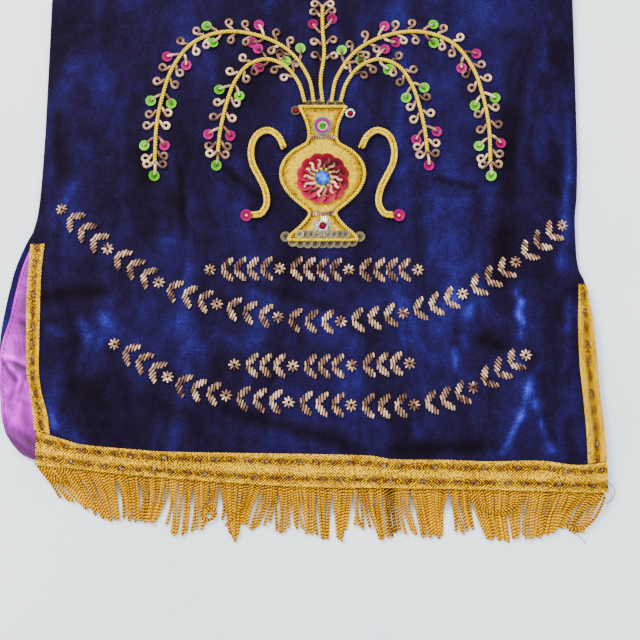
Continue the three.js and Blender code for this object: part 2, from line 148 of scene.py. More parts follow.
BACK_LEFT = [           # y, x
    (-357, -208), (-355, -213.5), (-351.5, -219.2), (-344, -225.8), (-337, -230), (-325, -233.2),
    (-317, -234.2), (-292, -236.4), (-267, -236.8), (-243, -233.6), (-230, -231.2), (-217, -228.4),
    (-204, -223.8), (-192, -218.6), (-180, -212), (-165, -210), (-100, -208), (150, -207), (414, -204),
]
BACK_RIGHT = [          # y, x
    (-380, 209.5), (-372, 207), (-358, 203.5), (-336, 203), (-284, 199.5), (-245, 196), (-227, 193.5),
    (-200, 190.5), (-160, 192), (-121, 194), (150, 197), (414, 199),
]
BACK_HEM = [(-208, -357), (-60, -364.5), (80, -372), (209.5, -380)]     # x, y
TOP_Y, CORNER = 414, 24                     # the top seam, and the radius of its two corners
HEM_LEVEL = -361                            # where the width of a panel's hem is taken
BACK = 2.9                                  # thickness of the velvet and its interlining
BORDER_TOP, BORDER_WIDE, BORDER_CROWN = 3.35, 4.0, 0.12
BORDER_ROWS = [0, 0.15, 0.5, 1.0, 2.0, 3.2, 4.0, 4.4, 4.8, 11]      # mesh rows, in from the edge


def along(table, at, column=1):
    """A smooth curve through a table's rows: between two rows a cubic that leaves and meets them at the
    slope of their neighbours, and level past both ends."""
    rows = np.asarray(table, float)
    keys, values = rows[:, 0], rows[:, column]
    at = np.clip(at, keys[0], keys[-1])
    i = np.clip(np.searchsorted(keys, at, side="right") - 1, 0, len(keys) - 2)
    ahead = np.minimum(np.arange(len(keys)) + 1, len(keys) - 1)
    behind = np.maximum(np.arange(len(keys)) - 1, 0)
    slope = (values[ahead] - values[behind]) / (keys[ahead] - keys[behind])
    span = keys[i + 1] - keys[i]
    t = (at - keys[i]) / span
    h = t * t * (3 - 2 * t)
    bend = t * (1 - t) * span * ((1 - t) * slope[i] - t * slope[i + 1])
    return values[i] * (1 - h) + values[i + 1] * h + bend


def ease(t):
    """0 to 1 as t goes from 0 to 1, level at both ends: three t squared less two t cubed."""
    t = np.clip(t, 0, 1)
    return t * t * (3 - 2 * t)


def rounded(inward, radius):
    """How far a round edge has turned at a distance in from it: 1 at the edge and 0 from the radius on,
    down a quarter circle."""
    return 1 - np.sqrt(1 - (1 - np.clip(inward / radius, 0, 1)) ** 2)


def side_line(table, inward):
    """A panel's side as a function of y: its table's x, drawn in at the rounded top corner."""
    return lambda y: along(table, y) + inward * CORNER * rounded(TOP_Y - y, CORNER)


def stations(length, ends, pitch):
    """Distances across a span: the given ones at each end and even ones of about the pitch between."""
    ends = np.asarray(ends, float)
    count = round((length - 2 * ends[-1]) / pitch)
    middle = np.linspace(ends[-1], length - ends[-1], count + 1)[1:-1]
    return np.concatenate([ends, middle, length - ends[::-1]])


def panel_plan(left, right, hem, top, ends_x, ends_y, pitch_x, pitch_y):
    """Plan points of a panel and each one's distance in from its edge: shares of the width and the
    height, carried to the panel's own sides, hem and top."""
    width, height = right(0.0) - left(0.0), top - hem(0.0)
    in_x, in_y = stations(width, ends_x, pitch_x), stations(height, ends_y, pitch_y)
    u, v = np.meshgrid(in_x / width, in_y / height)
    level = left(HEM_LEVEL) + (right(HEM_LEVEL) - left(HEM_LEVEL)) * u
    y = hem(level) + (top - hem(level)) * v
    x = left(y) + (right(y) - left(y)) * u
    inward = np.minimum(np.minimum(in_x, width - in_x)[None, :], np.minimum(in_y, height - in_y)[:, None])
    return x, y, inward


def closed_sheet(x, y, low, high):
    """Points and faces of a sheet over a plan grid: the high face, the low face, and the rim between."""
    points = np.concatenate([np.stack([x, y, z], -1).reshape(-1, 3) for z in (high, low)])
    number = np.arange(x.size).reshape(x.shape)
    upper = np.stack([number[:-1, :-1], number[:-1, 1:], number[1:, 1:], number[1:, :-1]], -1).reshape(-1, 4)
    rim = np.concatenate([number[0], number[1:, -1], number[-1, -2::-1], number[-2:0:-1, 0]])
    after = np.roll(rim, -1)
    wall = np.stack([rim, rim + x.size, after + x.size, after], -1)
    return points, [upper, upper[:, ::-1] + x.size, wall]


def add_piece(name, points, faces, finish, slot, sharp=50, lay=None, **values):
    """A piece from points in millimetres and groups of faces by number. The values are kept at each
    point for its material, and lay gives every face corner's two map coordinates."""
    mesh = bpy.data.meshes.new(name)
    mesh.from_pydata((np.asarray(points) / 1000).tolist(), [], [f for group in faces for f in group.tolist()])
    for key, value in values.items():
        mesh.attributes.new(key, "FLOAT", "POINT").data.foreach_set(
            "value", np.broadcast_to(np.ravel(value), len(points)).astype(np.float32))
    if lay is not None:
        mesh.uv_layers.new(name="lay").data.foreach_set("uv", np.asarray(lay, np.float32).ravel())
    mesh.polygons.foreach_set("use_smooth", [True] * len(mesh.polygons))
    mesh.set_sharp_from_angle(angle=math.radians(sharp))
    mesh.materials.append(finish)
    made = put(name, mesh)
    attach(made, "root")
    return made


def total(tree, start, *terms):
    """The start plus every term, which is a source and what it is multiplied by."""
    for source, factor in terms:
        start = node(tree, "Math", {0: source, 1: factor, 2: start}, operation="MULTIPLY_ADD")
    return start


# painted sheen: the pile leans in broad streaks and crushed patches, painted pale where it leans away
# from the eye and nearly black where it stands up, with a fine nap of about 1 mm
navy_velvet, tree, place = finish_for(
    "navy_cotton_velvet", Roughness=0.75, Specular_IOR_Level=0.03, Sheen_Weight=0.06, Sheen_Roughness=0.4,
    Sheen_Tint=linear("#3a40c0"))
streak_sheen = node(tree, "TexNoise", {
    "Vector": node(tree, "Mapping", {"Vector": place, "Scale": (1.5, 0.6, 1.0)}),
    "Scale": 17.0, "Detail": 5.0, "Roughness": 0.6, "Distortion": 0.7})
crush_relief_and_sheen = node(tree, "TexNoise", {"Vector": place, "Scale": 75.0, "Detail": 4.0, "Roughness": 0.65})
pile = node(tree, "TexNoise", {"Vector": place, "Scale": 620.0})
tone = total(tree, "nap", (streak_sheen, 0.95), (crush_relief_and_sheen, 0.42), (pile, 0.30), (1.0, -0.405))
colour = node(tree, "ValToRGB", {"Fac": tone}, [
    (0.0, "#070309"), (0.22, "#0c0612"), (0.40, "#120b22"), (0.54, "#160f38"), (0.66, "#1b1650"),
    (0.82, "#272a86"), (1.0, "#3c44c0")])
dress(tree, colour, total(tree, pile, (crush_relief_and_sheen, 0.5)), 0.55, 0.0012)

back_left, back_right = side_line(BACK_LEFT, 1), side_line(BACK_RIGHT, -1)
x, y, inward = panel_plan(back_left, back_right, lambda x: along(BACK_HEM, x), TOP_Y - 1, BORDER_ROWS,
                          BORDER_ROWS, 20, 8)
turn = rounded(inward, 1)
step_down = ease((inward - BORDER_WIDE) / 0.8)
crown = BORDER_CROWN * (np.sin(np.clip(inward / 4.2, 0, 1) * math.pi) - 1)
high = BORDER_TOP + crown - (BORDER_TOP - BACK - BORDER_CROWN) * step_down - 1.3 * turn
points, faces = closed_sheet(x, y, 1.1 * turn, high)
back_panel = add_piece("back_velvet", points, faces, navy_velvet, "velvet", nap=0.12)
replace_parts(back_panel, "back_panel")


# Lining of the back
# Orchid purple satin, slip-stitched just inside the velvet border, seen through the open left slit.
# It is a little loose there: a pinched crease and a few soft pulls run across it.

CREASE = {"x": -222, "y": -291, "width": 6, "length": 14, "height": 0.9, "slope": 0.25}
PULLS = [               # x1, y1, x2, y2, half width, height
    (-234, -281, -226, -283, 1.1, 0.8), (-227, -283, -212, -289, 1.0, 1.0),
    (-232, -284, -221, -296, 1.1, 0.8), (-230, -286, -218, -291, 1.6, -0.9),
    (-233, -287, -224, -299, 1.3, -0.7), (-215, -294, -221, -309, 1.2, -0.5),
    (-222, -297, -216, -303, 1.2, 0.4), (-221, -252, -212, -256, 1.6, 0.5),
    (-223, -257, -213, -262, 1.6, -0.5), (-226, -268, -214, -271, 2.2, 0.3),
    (-221, -314, -212, -318, 1.8, -0.4), (-226, -228, -214, -262, 2.6, 0.22),
    (-230, -322, -212, -338, 3.2, 0.4), (-228, -306, -213, -300, 3.0, 0.2),
    (-221, -226, -214, -231, 2.0, 0.3), (-224, -340, -208, -351, 2.2, 0.45),
]
SATIN, GAP = 1.0, 0.3                       # the lining's thickness, and its lift off the velvet
LINING_IN, LINING_NEAR = 5.3, 0.9           # the lining's edge, in from the velvet's, and at its nearest


def both(values):
    """The same value at a sheet's two faces."""
    return np.concatenate([np.ravel(values), np.ravel(values)])


def ridges(x, y, table, end=1.6):
    """Sum of soft ridges from point to point: height times a bell curve across each, whose width is
    given, and a bell curve past its ends."""
    heights = np.zeros_like(x)
    for x1, y1, x2, y2, half, height in table:
        length = math.hypot(x2 - x1, y2 - y1)
        run = ((x - x1) * (x2 - x1) + (y - y1) * (y2 - y1)) / length
        off = ((x - x1) * (y2 - y1) - (y - y1) * (x2 - x1)) / length
        past = np.maximum(np.maximum(-run, run - length), 0)
        heights += height * np.exp(-(off / half) ** 2 - (past / (end * half)) ** 2)
    return heights


def lining_in(at, from_, to):
    """The inset of the lining, which eases to its least where it is brought out to the lower left edge."""
    return LINING_NEAR + (LINING_IN - LINING_NEAR) * ease((at - from_) / (to - from_))


def over_border(from_edge):
    """How much the lining is lifted where it lies on the velvet's turned border."""
    return 0.4 * (1 - ease((from_edge - 3.8) / 1.4))


def lining_left(y):
    """The lining's inset at the left side."""
    return lining_in(y, -284, -250)


# woven satin: pale and dark where its floating threads catch the light along soft pulls
satin, tree, place = finish_for("orchid_satin", Roughness=0.4, Specular_IOR_Level=0.14, Sheen_Weight=0.05,
                                Sheen_Tint=linear("#e060ff"), Anisotropic=0.4)
sheen = node(tree, "TexNoise", {
    "Vector": node(tree, "Mapping", {"Vector": place, "Scale": (1.0, 0.35, 1.0)}),
    "Scale": 60.0, "Detail": 4.0, "Roughness": 0.55, "Distortion": 0.6})
colour = node(tree, "ValToRGB", {"Fac": total(tree, "pull", (sheen, 2.1), (1.0, -0.60))}, [
    (0.1, "#4c1c4c"), (0.3, "#6c1c74"), (0.56, "#9808a4"), (0.8, "#cc00d8"), (1.0, "#f010fc")])
# threads at 3 a millimetre are drawn at 1.4, so that they show
weave = node(tree, "TexWave", {"Vector": place, "Scale": 440.0, "Distortion": 0.6, "Detail": 1.0})
dress(tree, colour, weave, 0.12, 0.0002)

x, y, inward = panel_plan(
    lambda y: back_left(y) + lining_left(y), lambda y: back_right(y) - LINING_IN,
    lambda x: along(BACK_HEM, x) + lining_in(x, -205, -180), TOP_Y - 1 - LINING_IN,
    [0, 0.12, 0.4, 0.9, 1.6, 2.4, 3.4, 4.6, 6, 7.5, 9, 10.5, 12, 13.5, 15, 17, 19, 21, 24, 28, 34],
    [0, 0.12, 0.4, 0.9, 1.6, 2.4, 3.4, 5], 24, 1.5)
fold = CREASE["height"] * ease((CREASE["x"] + CREASE["length"] - x) / CREASE["length"]) * np.exp(
    -((y - CREASE["y"] - CREASE["slope"] * (x - CREASE["x"])) / CREASE["width"]) ** 2)
small = ridges(x, y, PULLS) * ease(inward / 4)
low = BACK + GAP + fold + over_border(np.minimum(x - back_left(y), y - along(BACK_HEM, x)))
turn = rounded(inward, 0.9)
dip = -0.25 * np.exp(-((inward - 2.4) / 0.7) ** 2)              # drawn down along the stitches
points, faces = closed_sheet(x, y, low + 0.4 * turn, low + SATIN + small + dip - 0.5 * turn)
# painted light and shade: lighter on raised pulls and darker in sunken ones, darker at the rounded edge, in
# the dip along the stitches and towards the bottom below y -322
tone = 0.5 * small - 0.3 * turn + 0.12 * dip - 0.45 * ease((-322 - y) / 26)
lining = add_piece("satin_lining", points, faces, satin, "satin", pull=both(tone))
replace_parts(lining, "back_lining")


# Front panel
# One cut of the same velvet, joined to the back at its sides and top and puffed up over the hollow,
# open at the hem, at the side slits and at two gaps in the top seam for the scroll's staves.

FRONT_LEFT = [          # y, x
    (-381, -202.5), (-361, -203), (-350, -204.5), (-336, -206), (-322, -208), (-308, -210.5),
    (-293, -213.5), (-257, -215.3), (-239, -216), (-200, -215), (-192, -214.8), (-177, -212.4),
    (-152, -210.6), (-100, -209.3), (150, -208), (414, -205),
]
FRONT_RIGHT = [         # y, x
    (-381, 205), (-358, 205.8), (-336, 205.2), (-314, 203.4), (-284, 202), (-257, 200.6), (-245, 199),
    (-227, 196), (-218, 192.4), (-200, 191.6), (-177, 191.8), (-160, 193.8), (-121, 195.6), (150, 198),
    (414, 200),
]
BAND_BOTTOM = [         # x, y
    (-203, -361), (-170, -363.8), (-148, -366.5), (-119, -369), (-64, -373.2), (-14, -376), (57, -377),
    (128, -378.4), (205, -380.4),
]
BAND_TOP = [            # x, y
    (-206, -336), (-182, -343), (-172, -345.8), (-152, -348), (-134, -349.4), (-112, -351), (-60, -352),
    (-7, -352.8), (36, -354), (52, -356.4), (93, -357), (119, -358), (158, -357.6), (184, -360.6),
    (206, -358.4),
]
FOLDS = [               # x1, y1, x2, y2, half width, height
    (137, -226, 141, -282, 14, 1.6), (166, -286, 132, -336, 14, 1.7), (150, -312, 162, -338, 12, 1.2),
    (-187, -258, -140, -268, 20, 1.2), (-188, -312, -165, -328, 14, 1.1),
    (-176, -110, -166, -168, 16, 1.3), (120, 60, 168, 200, 26, 1.6), (-150, 120, -110, 260, 26, 1.6),
]
VELVET = 2.0
SEAM_Z, FULL_Z = 3.65, 10.5                 # the front's inner face at the seams and over the hollow
SLIT_TOP = (-197, -227)                     # left, right
STAVE_X, STAVE_FLAT, STAVE_FLANK = 75, 46, 22
HEM_BACK = 4.2                              # the front's hem, behind the band's lower edge
SHOULDER = 34                               # how far in from an edge the front still rises
EDGE_ROWS = [0, 0.2, 0.7, 1.5, 3, 5]        # mesh rows, in from the edge
TURN = 2 * math.pi                          # a full turn, or one whole wave
NAP_SHEEN = [                 # crushed streaks of painted sheen: x1, y1, x2, y2, half width, lighter or darker
    (147, -230, 143, -236, 3.0, 0.35), (143, -236, 147.5, -243, 2.8, 0.5),
    (147, -243, 144.8, -252, 3.6, 0.75), (145, -252, 148, -258, 2.6, 0.6),
    (148, -258, 145.8, -267, 2.4, 0.5), (181.8, -241, 180.6, -262, 2.6, 0.55),
    (180.6, -262, 178, -290, 2.6, 0.3), (160, -289, 152.7, -296, 2.6, 0.35),
    (151.5, -299, 149.5, -307, 2.8, 0.4), (149.5, -307, 143.7, -327, 2.6, 0.5),
    (143.7, -327, 131, -351, 2.8, 0.6), (153, -303, 155.4, -317, 4.6, 0.4),
    (155.4, -317, 158.6, -331, 2.8, 0.6), (158.6, -331, 166, -350, 2.8, 0.55),
    (100, -240, 106, -250, 4, 0.4), (98, -278, 98.5, -291, 2.4, 0.55), (110, -247, 108, -254, 3.4, 0.5),
    (104, -270, 106, -274, 3.0, 0.4), (-196, -262, -190, -266, 4.8, 0.5),
    (-174, -258, -169, -268, 4.8, 0.6), (-157, -256, -148, -264, 6.0, 0.5),
    (-158, -268, -160, -276, 3.4, 0.3), (-187, -334, -168, -346, 6.5, 0.45),
    (-197, -316, -192, -332, 3.4, 0.35),
    (68, -332, 70, -337, 3.7, 0.4), (184, -160, 180, -213, 4.4, 0.5), (91, -158, 93, -208, 11.8, 0.3),
    (-195, -170, -185, -156, 4.4, 0.3), (-68, -177, -59, -213, 11.8, 0.22),
    (-98, -255, -87, -282, 5.9, 0.3), (189, -97, 188, -150, 3.0, 0.45), (58, -263, 110, -241, 16, 0.2),
    (-51, -241, 7, -263, 11.8, 0.15), (-198, -102, -192, -144, 7.4, -0.5),
    (140, -97, 140, -163, 6.7, -0.5), (136, -190, 132, -228, 5.9, -0.6),
    (-81, -132, -46, -163, 2.6, -0.6), (-105, -144, -101, -195, 2.8, -0.5),
    (-66, -322, 23, -347, 4.4, -0.5), (52, -350, 113, -347, 5.2, -0.6), (121, -271, 128, -275, 5.9, -0.7),
    (-202, -238, -160, -234, 4.4, -0.6), (88, -149, 115, -156, 2.2, -0.6),
    (-135, -127, -130, -152, 4.4, -0.5), (-175, -303, -165, -310, 7.4, -0.4),
    (-123, -313, -94, -326, 6.7, -0.3), (-58, -226, 15, -249, 3.0, -0.35),
    (158, -329, 166, -343, 3.7, -0.3), (-167, -119, -159, -189, 7.4, -0.25),
    (177, -127, 178, -158, 4.4, -0.3), (70, 40, 110, 190, 14, 0.35), (-60, 90, -110, 230, 12, 0.3),
    (-20, 20, 10, 110, 16, -0.3), (150, 180, 175, 330, 10, 0.4), (-180, 200, -170, 330, 8, -0.4),
    (20, 240, -30, 350, 15, 0.25), (-175, -40, -130, -150, 42, -0.15),
    (-175, -215, -120, -225, 14, -0.15), (60, -200, 120, -215, 22, 0.12), (40, -290, 110, -310, 26, 0.12),
]


def front_hem(x):
    """The front's hem as a function of x: the band's lower edge, set back."""
    return along(BAND_BOTTOM, x) + HEM_BACK


def rise(distance, closed):
    """Share of the full height at a distance from an edge: a round shoulder, from nothing at a seam and
    from a half at a free edge."""
    dome = 1 - (1 - np.clip(distance / SHOULDER, 0, 1)) ** 2.4
    return (0.5 + 0.5 * dome) * (1 - closed) + dome * closed


def inner_height(x, y):
    """Height of the front's inner face: the seams' level, and above it the hollow's height with the
    folds and a broad unevenness, times the shares left by the two sides and the top."""
    closed_left, closed_right = ease((y - SLIT_TOP[0]) / 26), ease((y - SLIT_TOP[1]) / 26)
    arch = 1 - ease((np.abs(np.abs(x) - STAVE_X) - STAVE_FLAT / 2) / STAVE_FLANK)
    top = rise(TOP_Y - y, 1) * (1 - arch) + arch
    share = rise(x - front_left(y), closed_left) * rise(front_right(y) - x, closed_right) * top
    wave = np.sin(x / 148 * TURN) * np.cos(y / 190 * TURN)
    calm = np.exp(-(np.hypot(x - 2, y + 150) / 95) ** 4)
    folds = (ridges(x, y, FOLDS) + 0.35 * (1 + wave)) * (1 - calm)
    return SEAM_Z + (FULL_Z - SEAM_Z + folds) * share


def face_height(x, y):
    """Height of the front's outer face: the inner one and the cloth's thickness, measured upright."""
    x, y = np.asarray(x, float), np.asarray(y, float)
    here = inner_height(x, y)
    dx, dy = ((inner_height(x + a, y + b) - here) / 1.5 for a, b in ((1.5, 0), (0, 1.5)))
    return here + VELVET * np.minimum(np.sqrt(1 + dx ** 2 + dy ** 2), 1.5)


front_left, front_right = side_line(FRONT_LEFT, 1), side_line(FRONT_RIGHT, -1)
x, y, inward = panel_plan(front_left, front_right, front_hem, TOP_Y, EDGE_ROWS, EDGE_ROWS, 2.7, 2.7)
turn = rounded(inward, 1.5)
points, faces = closed_sheet(x, y, inner_height(x, y) + 0.7 * turn, face_height(x, y) - 0.9 * turn)
# painted sheen: the crushed pile lighter or darker in streaks, some of them highlights along the folds
nap = ridges(x, y, NAP_SHEEN, end=1.2) * 0.42
front_panel = add_piece("front_velvet", points, faces, navy_velvet, "velvet", nap=both(nap))
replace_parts(front_panel, "front_panel")


# Galloons
# Woven silk braid 12.7 mm wide, sewn flat: one up each slit's front edge and two side by side as the hem
# band. Golden threads slant out from the middle over humps of tarnished metal thread every 12 mm.

GALLOON_LIFT, SLANT_PITCH, SCALLOP = 0.4, 2.2, 3.1
DOT_PITCH, DOT_LONG, DOT_WIDE = 12.0, 3.1, 1.9
SIDE_LEFT_INNER = [     # y, x
    (-339, -193.5), (-322, -196.5), (-308, -201.2), (-293, -203.8), (-277, -204.4), (-257, -204.6),
    (-239, -205.2), (-220, -205.3), (-199, -203.8),
]
SIDE_RIGHT_INNER = [    # y, x
    (-357, 191.3), (-336, 191.2), (-314, 190.2), (-297, 189), (-284, 188.3), (-257, 188.6),
    (-245, 189.4), (-229, 190.4),
]


def distances(plan):
    """How far along a plan line each of its points lies."""
    return np.concatenate([[0], np.cumsum(np.hypot(*np.diff(plan, axis=0).T))])


def sampled(plan, clock, at):
    """Points of a plan line at these readings of its clock, straight between its own points."""
    return np.stack([np.interp(at, clock, plan[:, k]) for k in (0, 1)], -1)


# woven rayon silk, with a painted highlight on each slanted thread and painted shade in the grooves between
silk_braid, tree, place = finish_for("golden_silk_galloon", Roughness=0.6, Specular_IOR_Level=0.03)
grain, wear, stray = (node(tree, "TexNoise", {"Vector": place, "Scale": scale, "Detail": detail})
                      for scale, detail in ((700.0, 2.0), (60.0, 3.0), (260.0, 2.0)))
thread = node(tree, "Math", {0: total(tree, "slant", (stray, 4.0))}, operation="SINE")
# painted light and shade: the thread wave lights each slanted thread and darkens the grooves, and the middle
# is darker along its dip
tone = total(tree, -0.45, (grain, 1.9), (thread, 0.32), (wear, 0.5), ("middle", -0.40))
silk = node(tree, "ValToRGB", {"Fac": tone}, [
    (0.16, "#3a2000"), (0.42, "#6c4000"), (0.62, "#a87600"), (0.82, "#cc9c00"), (1.0, "#f4c400")])
# the metal hump is dark round its rim and glints in its middle
metal = node(tree, "ValToRGB", {"Fac": total(tree, grain, ("dot", 0.25))}, [
    (0.5, "#1c100e"), (0.66, "#3e2418"), (0.82, "#705238"), (1.0, "#d0bca0")])
dress(tree, node(tree, "MixRGB", {"Fac": "dot", "Color1": silk, "Color2": metal}), tone, 0.6, 0.0005)


def add_galloon(name, first, second, cad_node, start=0.0, scallops=(1, 1), pitch=0.75):
    """A braid between two edge lines (plan points, row by row). Its face is a sum of waves: slanted
    threads mirrored about the middle, a dip and humps along the middle, and small scallops on the free
    edges."""
    run = distances((first + second) / 2)
    at = np.linspace(0, run[-1], int(run[-1] / pitch) + 1)
    edges = [sampled(edge, run, at) for edge in (first, second)]
    width = np.hypot(*(edges[1] - edges[0]).T)
    across = np.linspace(0, 1, 15)
    scallop = 0.22 * np.abs(np.sin((at + start) / SCALLOP * math.pi))[:, None] / width[:, None]
    share = np.clip(across[None, :], scallop * scallops[0], 1 - scallop * scallops[1])
    share[:, 1:-1] = across[None, 1:-1]
    plan = edges[0][:, None, :] + (edges[1] - edges[0])[:, None, :] * share[..., None]
    s, q = np.meshgrid(at + start, across, indexing="ij")
    off = (q - 0.5) * width[:, None]
    slant = (s + 1.15 * np.abs(off)) / SLANT_PITCH * TURN
    near = np.abs((s % DOT_PITCH) - DOT_PITCH / 2)
    worn = 0.86 + 0.14 * np.sin(np.floor(s / DOT_PITCH) * 2.4 + start)
    dot = worn * np.exp(-(near / DOT_LONG) ** 4 - (off / DOT_WIDE) ** 4)
    # painted shade along the dip in the braid's middle
    middle = np.exp(-(off / 2.9) ** 2)
    x, y = plan[..., 0], plan[..., 1]
    base = face_height(x, np.maximum(y, front_hem(x))) + GALLOON_LIFT
    shoulder = 1 - np.abs(2 * q - 1) ** 8
    relief = 0.18 * np.sin(slant) * shoulder + 0.30 * dot - 0.3 * np.exp(-(off / 1.9) ** 2)
    points, faces = closed_sheet(x, y, base + 0.2 * (1 - shoulder), base + 0.95 + 0.3 * shoulder + relief)
    if np.cross(points[1] - points[0], points[len(across)] - points[0])[2] < 0:
        faces = [group[:, ::-1] for group in faces]
    made = add_piece(name, points, faces, silk_braid, "galloon", slant=both(slant), dot=both(dot),
                     middle=both(middle))
    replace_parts(made, cad_node)


HEM_LEFT, HEM_RIGHT = -204.5, 206
hem_x = np.linspace(HEM_LEFT, HEM_RIGHT, 200)
band_low, band_high = along(BAND_BOTTOM, hem_x), along(BAND_TOP, hem_x)
band_middle = (band_low + band_high) / 2
for name, rows, cad_node, start, scallops in (
    ("hem_galloon_low", (band_low, band_middle - 0.01), "hem_galloon_lower", 3.0, (1, 0)),
    ("hem_galloon_high", (band_middle + 0.01, band_high), "hem_galloon_upper", 7.0, (0, 1)),
):
    add_galloon(name, *(np.stack([hem_x, row], -1) for row in rows), cad_node, start, scallops)


def side_edges(left, right, foot, top):
    """The two edge lines of a side galloon: each side's x at a height, and y spread evenly from the
    hem band's top edge to the galloon's end."""
    t = np.linspace(0, 1, 90)
    level = foot + (top - foot) * t
    lines = []
    for side in (left, right):
        x = side(level)
        start = along(BAND_TOP, x) + 0.5
        lines.append(np.stack([x, start + (top - start) * t], -1))
    return lines


left_edges = side_edges(lambda y: along(FRONT_LEFT, y) - 0.2, lambda y: along(SIDE_LEFT_INNER, y),
                        BAND_TOP[0][1], SLIT_TOP[0] - 2)
right_edges = side_edges(lambda y: along(SIDE_RIGHT_INNER, y), lambda y: along(FRONT_RIGHT, y) + 0.2,
                         BAND_TOP[-1][1], SLIT_TOP[1] - 2)
add_galloon("slit_galloon_left", *left_edges, "side_galloon_left", 1.0)
add_galloon("slit_galloon_right", *right_edges, "side_galloon_right", 5.0)


# Fringe
# Two-ply cords of golden rayon, swollen where each is doubled into a loop at its tip, hang from a heading
# tape under the band and clump in V shapes. Each cord is a plain tube, with its twist in its material:
# a bump, painted shade in the grooves and painted highlights between.

FALL = [                # x of the root, lean of the tip, reach below the band: drawn together in clumps
    (-205.4, 10, 21.9), (-200.3, 23.5, 26), (-191.5, 23.8, 29.6), (-181.3, 15, 28.1),
    (-171, 15.4, 36.6), (-165.2, 12.5, 36.6), (-159.3, 8.8, 35.9), (-153.4, 8.1, 34.4),
    (-147.6, 5.2, 33.7), (-141.7, 4.4, 32.5), (-135.9, 2.3, 33.5), (-130, -0.6, 32.2),
    (-126.4, -2.8, 32.6), (-118.3, -4.2, 31.9), (-112.4, -8.6, 31.5), (-108.1, -7.9, 30.4),
    (-105.1, -1.8, 39.6), (-100.7, -4.7, 39.9), (-94.9, -3.2, 38.8), (-90.5, -5.4, 37.7),
    (-85.4, -1, 36.6), (-83.2, -2.5, 36.4), (-77.3, -4.8, 25.9), (-74.4, -3.4, 25), (-71.4, 0.4, 30.5),
    (-69.3, 6.5, 41.1), (-65.6, 4.3, 41.6), (-61.2, -0.1, 42), (-55.3, -5.3, 38.1), (-49.5, -9.7, 32),
    (-43.6, -11.9, 28.8), (-39.2, -9, 32.2), (-36.3, -9, 29.8), (-32.6, -2.4, 26.8),
    (-30.5, 1.4, 33.8), (-24.6, -2.3, 33.5), (-20.2, 1.4, 31.1), (-14.3, 4.4, 32.2),
    (-8.5, -0.8, 32.1), (-4.1, 0.7, 34.9), (1.5, 1.5, 37), (7.3, -3.7, 36.9), (8.8, 5.1, 38.3),
    (14.6, 0, 38.2), (19, -3.6, 32.4), (22.7, -6.5, 30.9), (24.9, 3, 29.5), (29.3, 4.5, 30.1),
    (31.5, 10.3, 35.1), (35.1, 8.9, 36.5), (42.5, 3.8, 36.4), (48.3, 6, 32.7), (52.7, 2.4, 32),
    (58.6, 8.2, 32.6), (63, 7.5, 33.9), (67.3, 9, 34.6), (73.2, 6.8, 35.2), (79.1, 4.6, 34.3),
    (84.9, 1.7, 34.2), (90.8, -4.2, 34.1), (93.7, 9.1, 31.2), (99.6, 4.7, 31.1), (105.4, 3.4, 26.6),
    (107.6, 12.7, 35.9), (112.7, 10.5, 35.8), (127.4, 4.6, 35.5), (131.8, 2.4, 37.6),
    (137.6, 3.2, 34.6), (143.5, -1.9, 33), (146.4, -4.1, 32.9), (151.5, -2.6, 34.2),
    (158.1, -2.6, 32.6), (164, -6.2, 32.4), (169.8, -8.4, 30.8), (175.7, -9.7, 28.5),
    (181.6, -12.6, 27.7), (188.9, -12.5, 24.6), (196.2, -14.1, 28.7), (202, -14.2, 30.7),
    (204.2, -13.5, 33.5), (205.3, -7, 28.5),
]
STRAYS = [              # strands that hook over the others: plan corners
    [(-76, -378), (-84, -389), (-85, -397), (-80, -400), (-75, -396), (-78, -391), (-82, -393)],
    [(-199, -362), (-189, -362), (-183, -367), (-184, -372), (-190, -371), (-196, -368), (-198, -364)],
    [(105.4, -380), (111.8, -388.6), (120.5, -393.7), (130.8, -395.1), (139.7, -392.2), (145.1, -383)],
    [(108.3, -380), (117.6, -391.8), (129.4, -393.2), (139, -389.8), (143.7, -382.8)],
    [(203, -381), (191.2, -390.1), (180.4, -403), (183.1, -409.5)],
    [(204, -383), (198, -398), (187, -406), (176, -404)],
    [(-52, -377), (-56, -389), (-64, -399), (-68, -404)],
]
STRAND_PITCH, STRAND_WIDE, STRAND_SIDES = 1.85, 2.05, 6
STAIN_X = 50            # a few cords here are stained dark
FALL_OUT, FALL_DOWN = [0, 0.12, 0.5, 1], [0, 0.12, 0.97, 1]     # share of the fall at a share of the reach
TAPE_UP, TAPE_THICK = (0.3, 1.2, 2.6, 3.8), 1.7                 # rows above the band's edge


def evenly(plan, step):
    """Even points, about a step apart, on a plan line: each at its own share of the line's length."""
    run = distances(plan)
    return sampled(plan, run, np.linspace(0, run[-1], int(run[-1] / step) + 2))


def through(corners, step):
    """Even points on a smooth curve through plan corners, whose clock runs with the square root of the
    distance from corner to corner."""
    corners = np.asarray(corners, float)
    clock = np.concatenate([[0], np.cumsum(np.sqrt(np.hypot(*np.diff(corners, axis=0).T)))])
    table = np.column_stack([clock, corners])
    fine = np.linspace(0, clock[-1], len(corners) * 30)
    return evenly(np.stack([along(table, fine, 1), along(table, fine, 2)], -1), step)


def spread(count, shift=0.0):
    """Angles spread evenly round one turn."""
    return np.arange(count) / count * TURN + shift


def walls(number):
    """Faces between every ring of points and the next, from the points' numbers (piece, ring, point)."""
    after = np.roll(number, -1, axis=2)
    return np.stack([number[:, :-1], number[:, 1:], after[:, 1:], after[:, :-1]], -1).reshape(-1, 4)


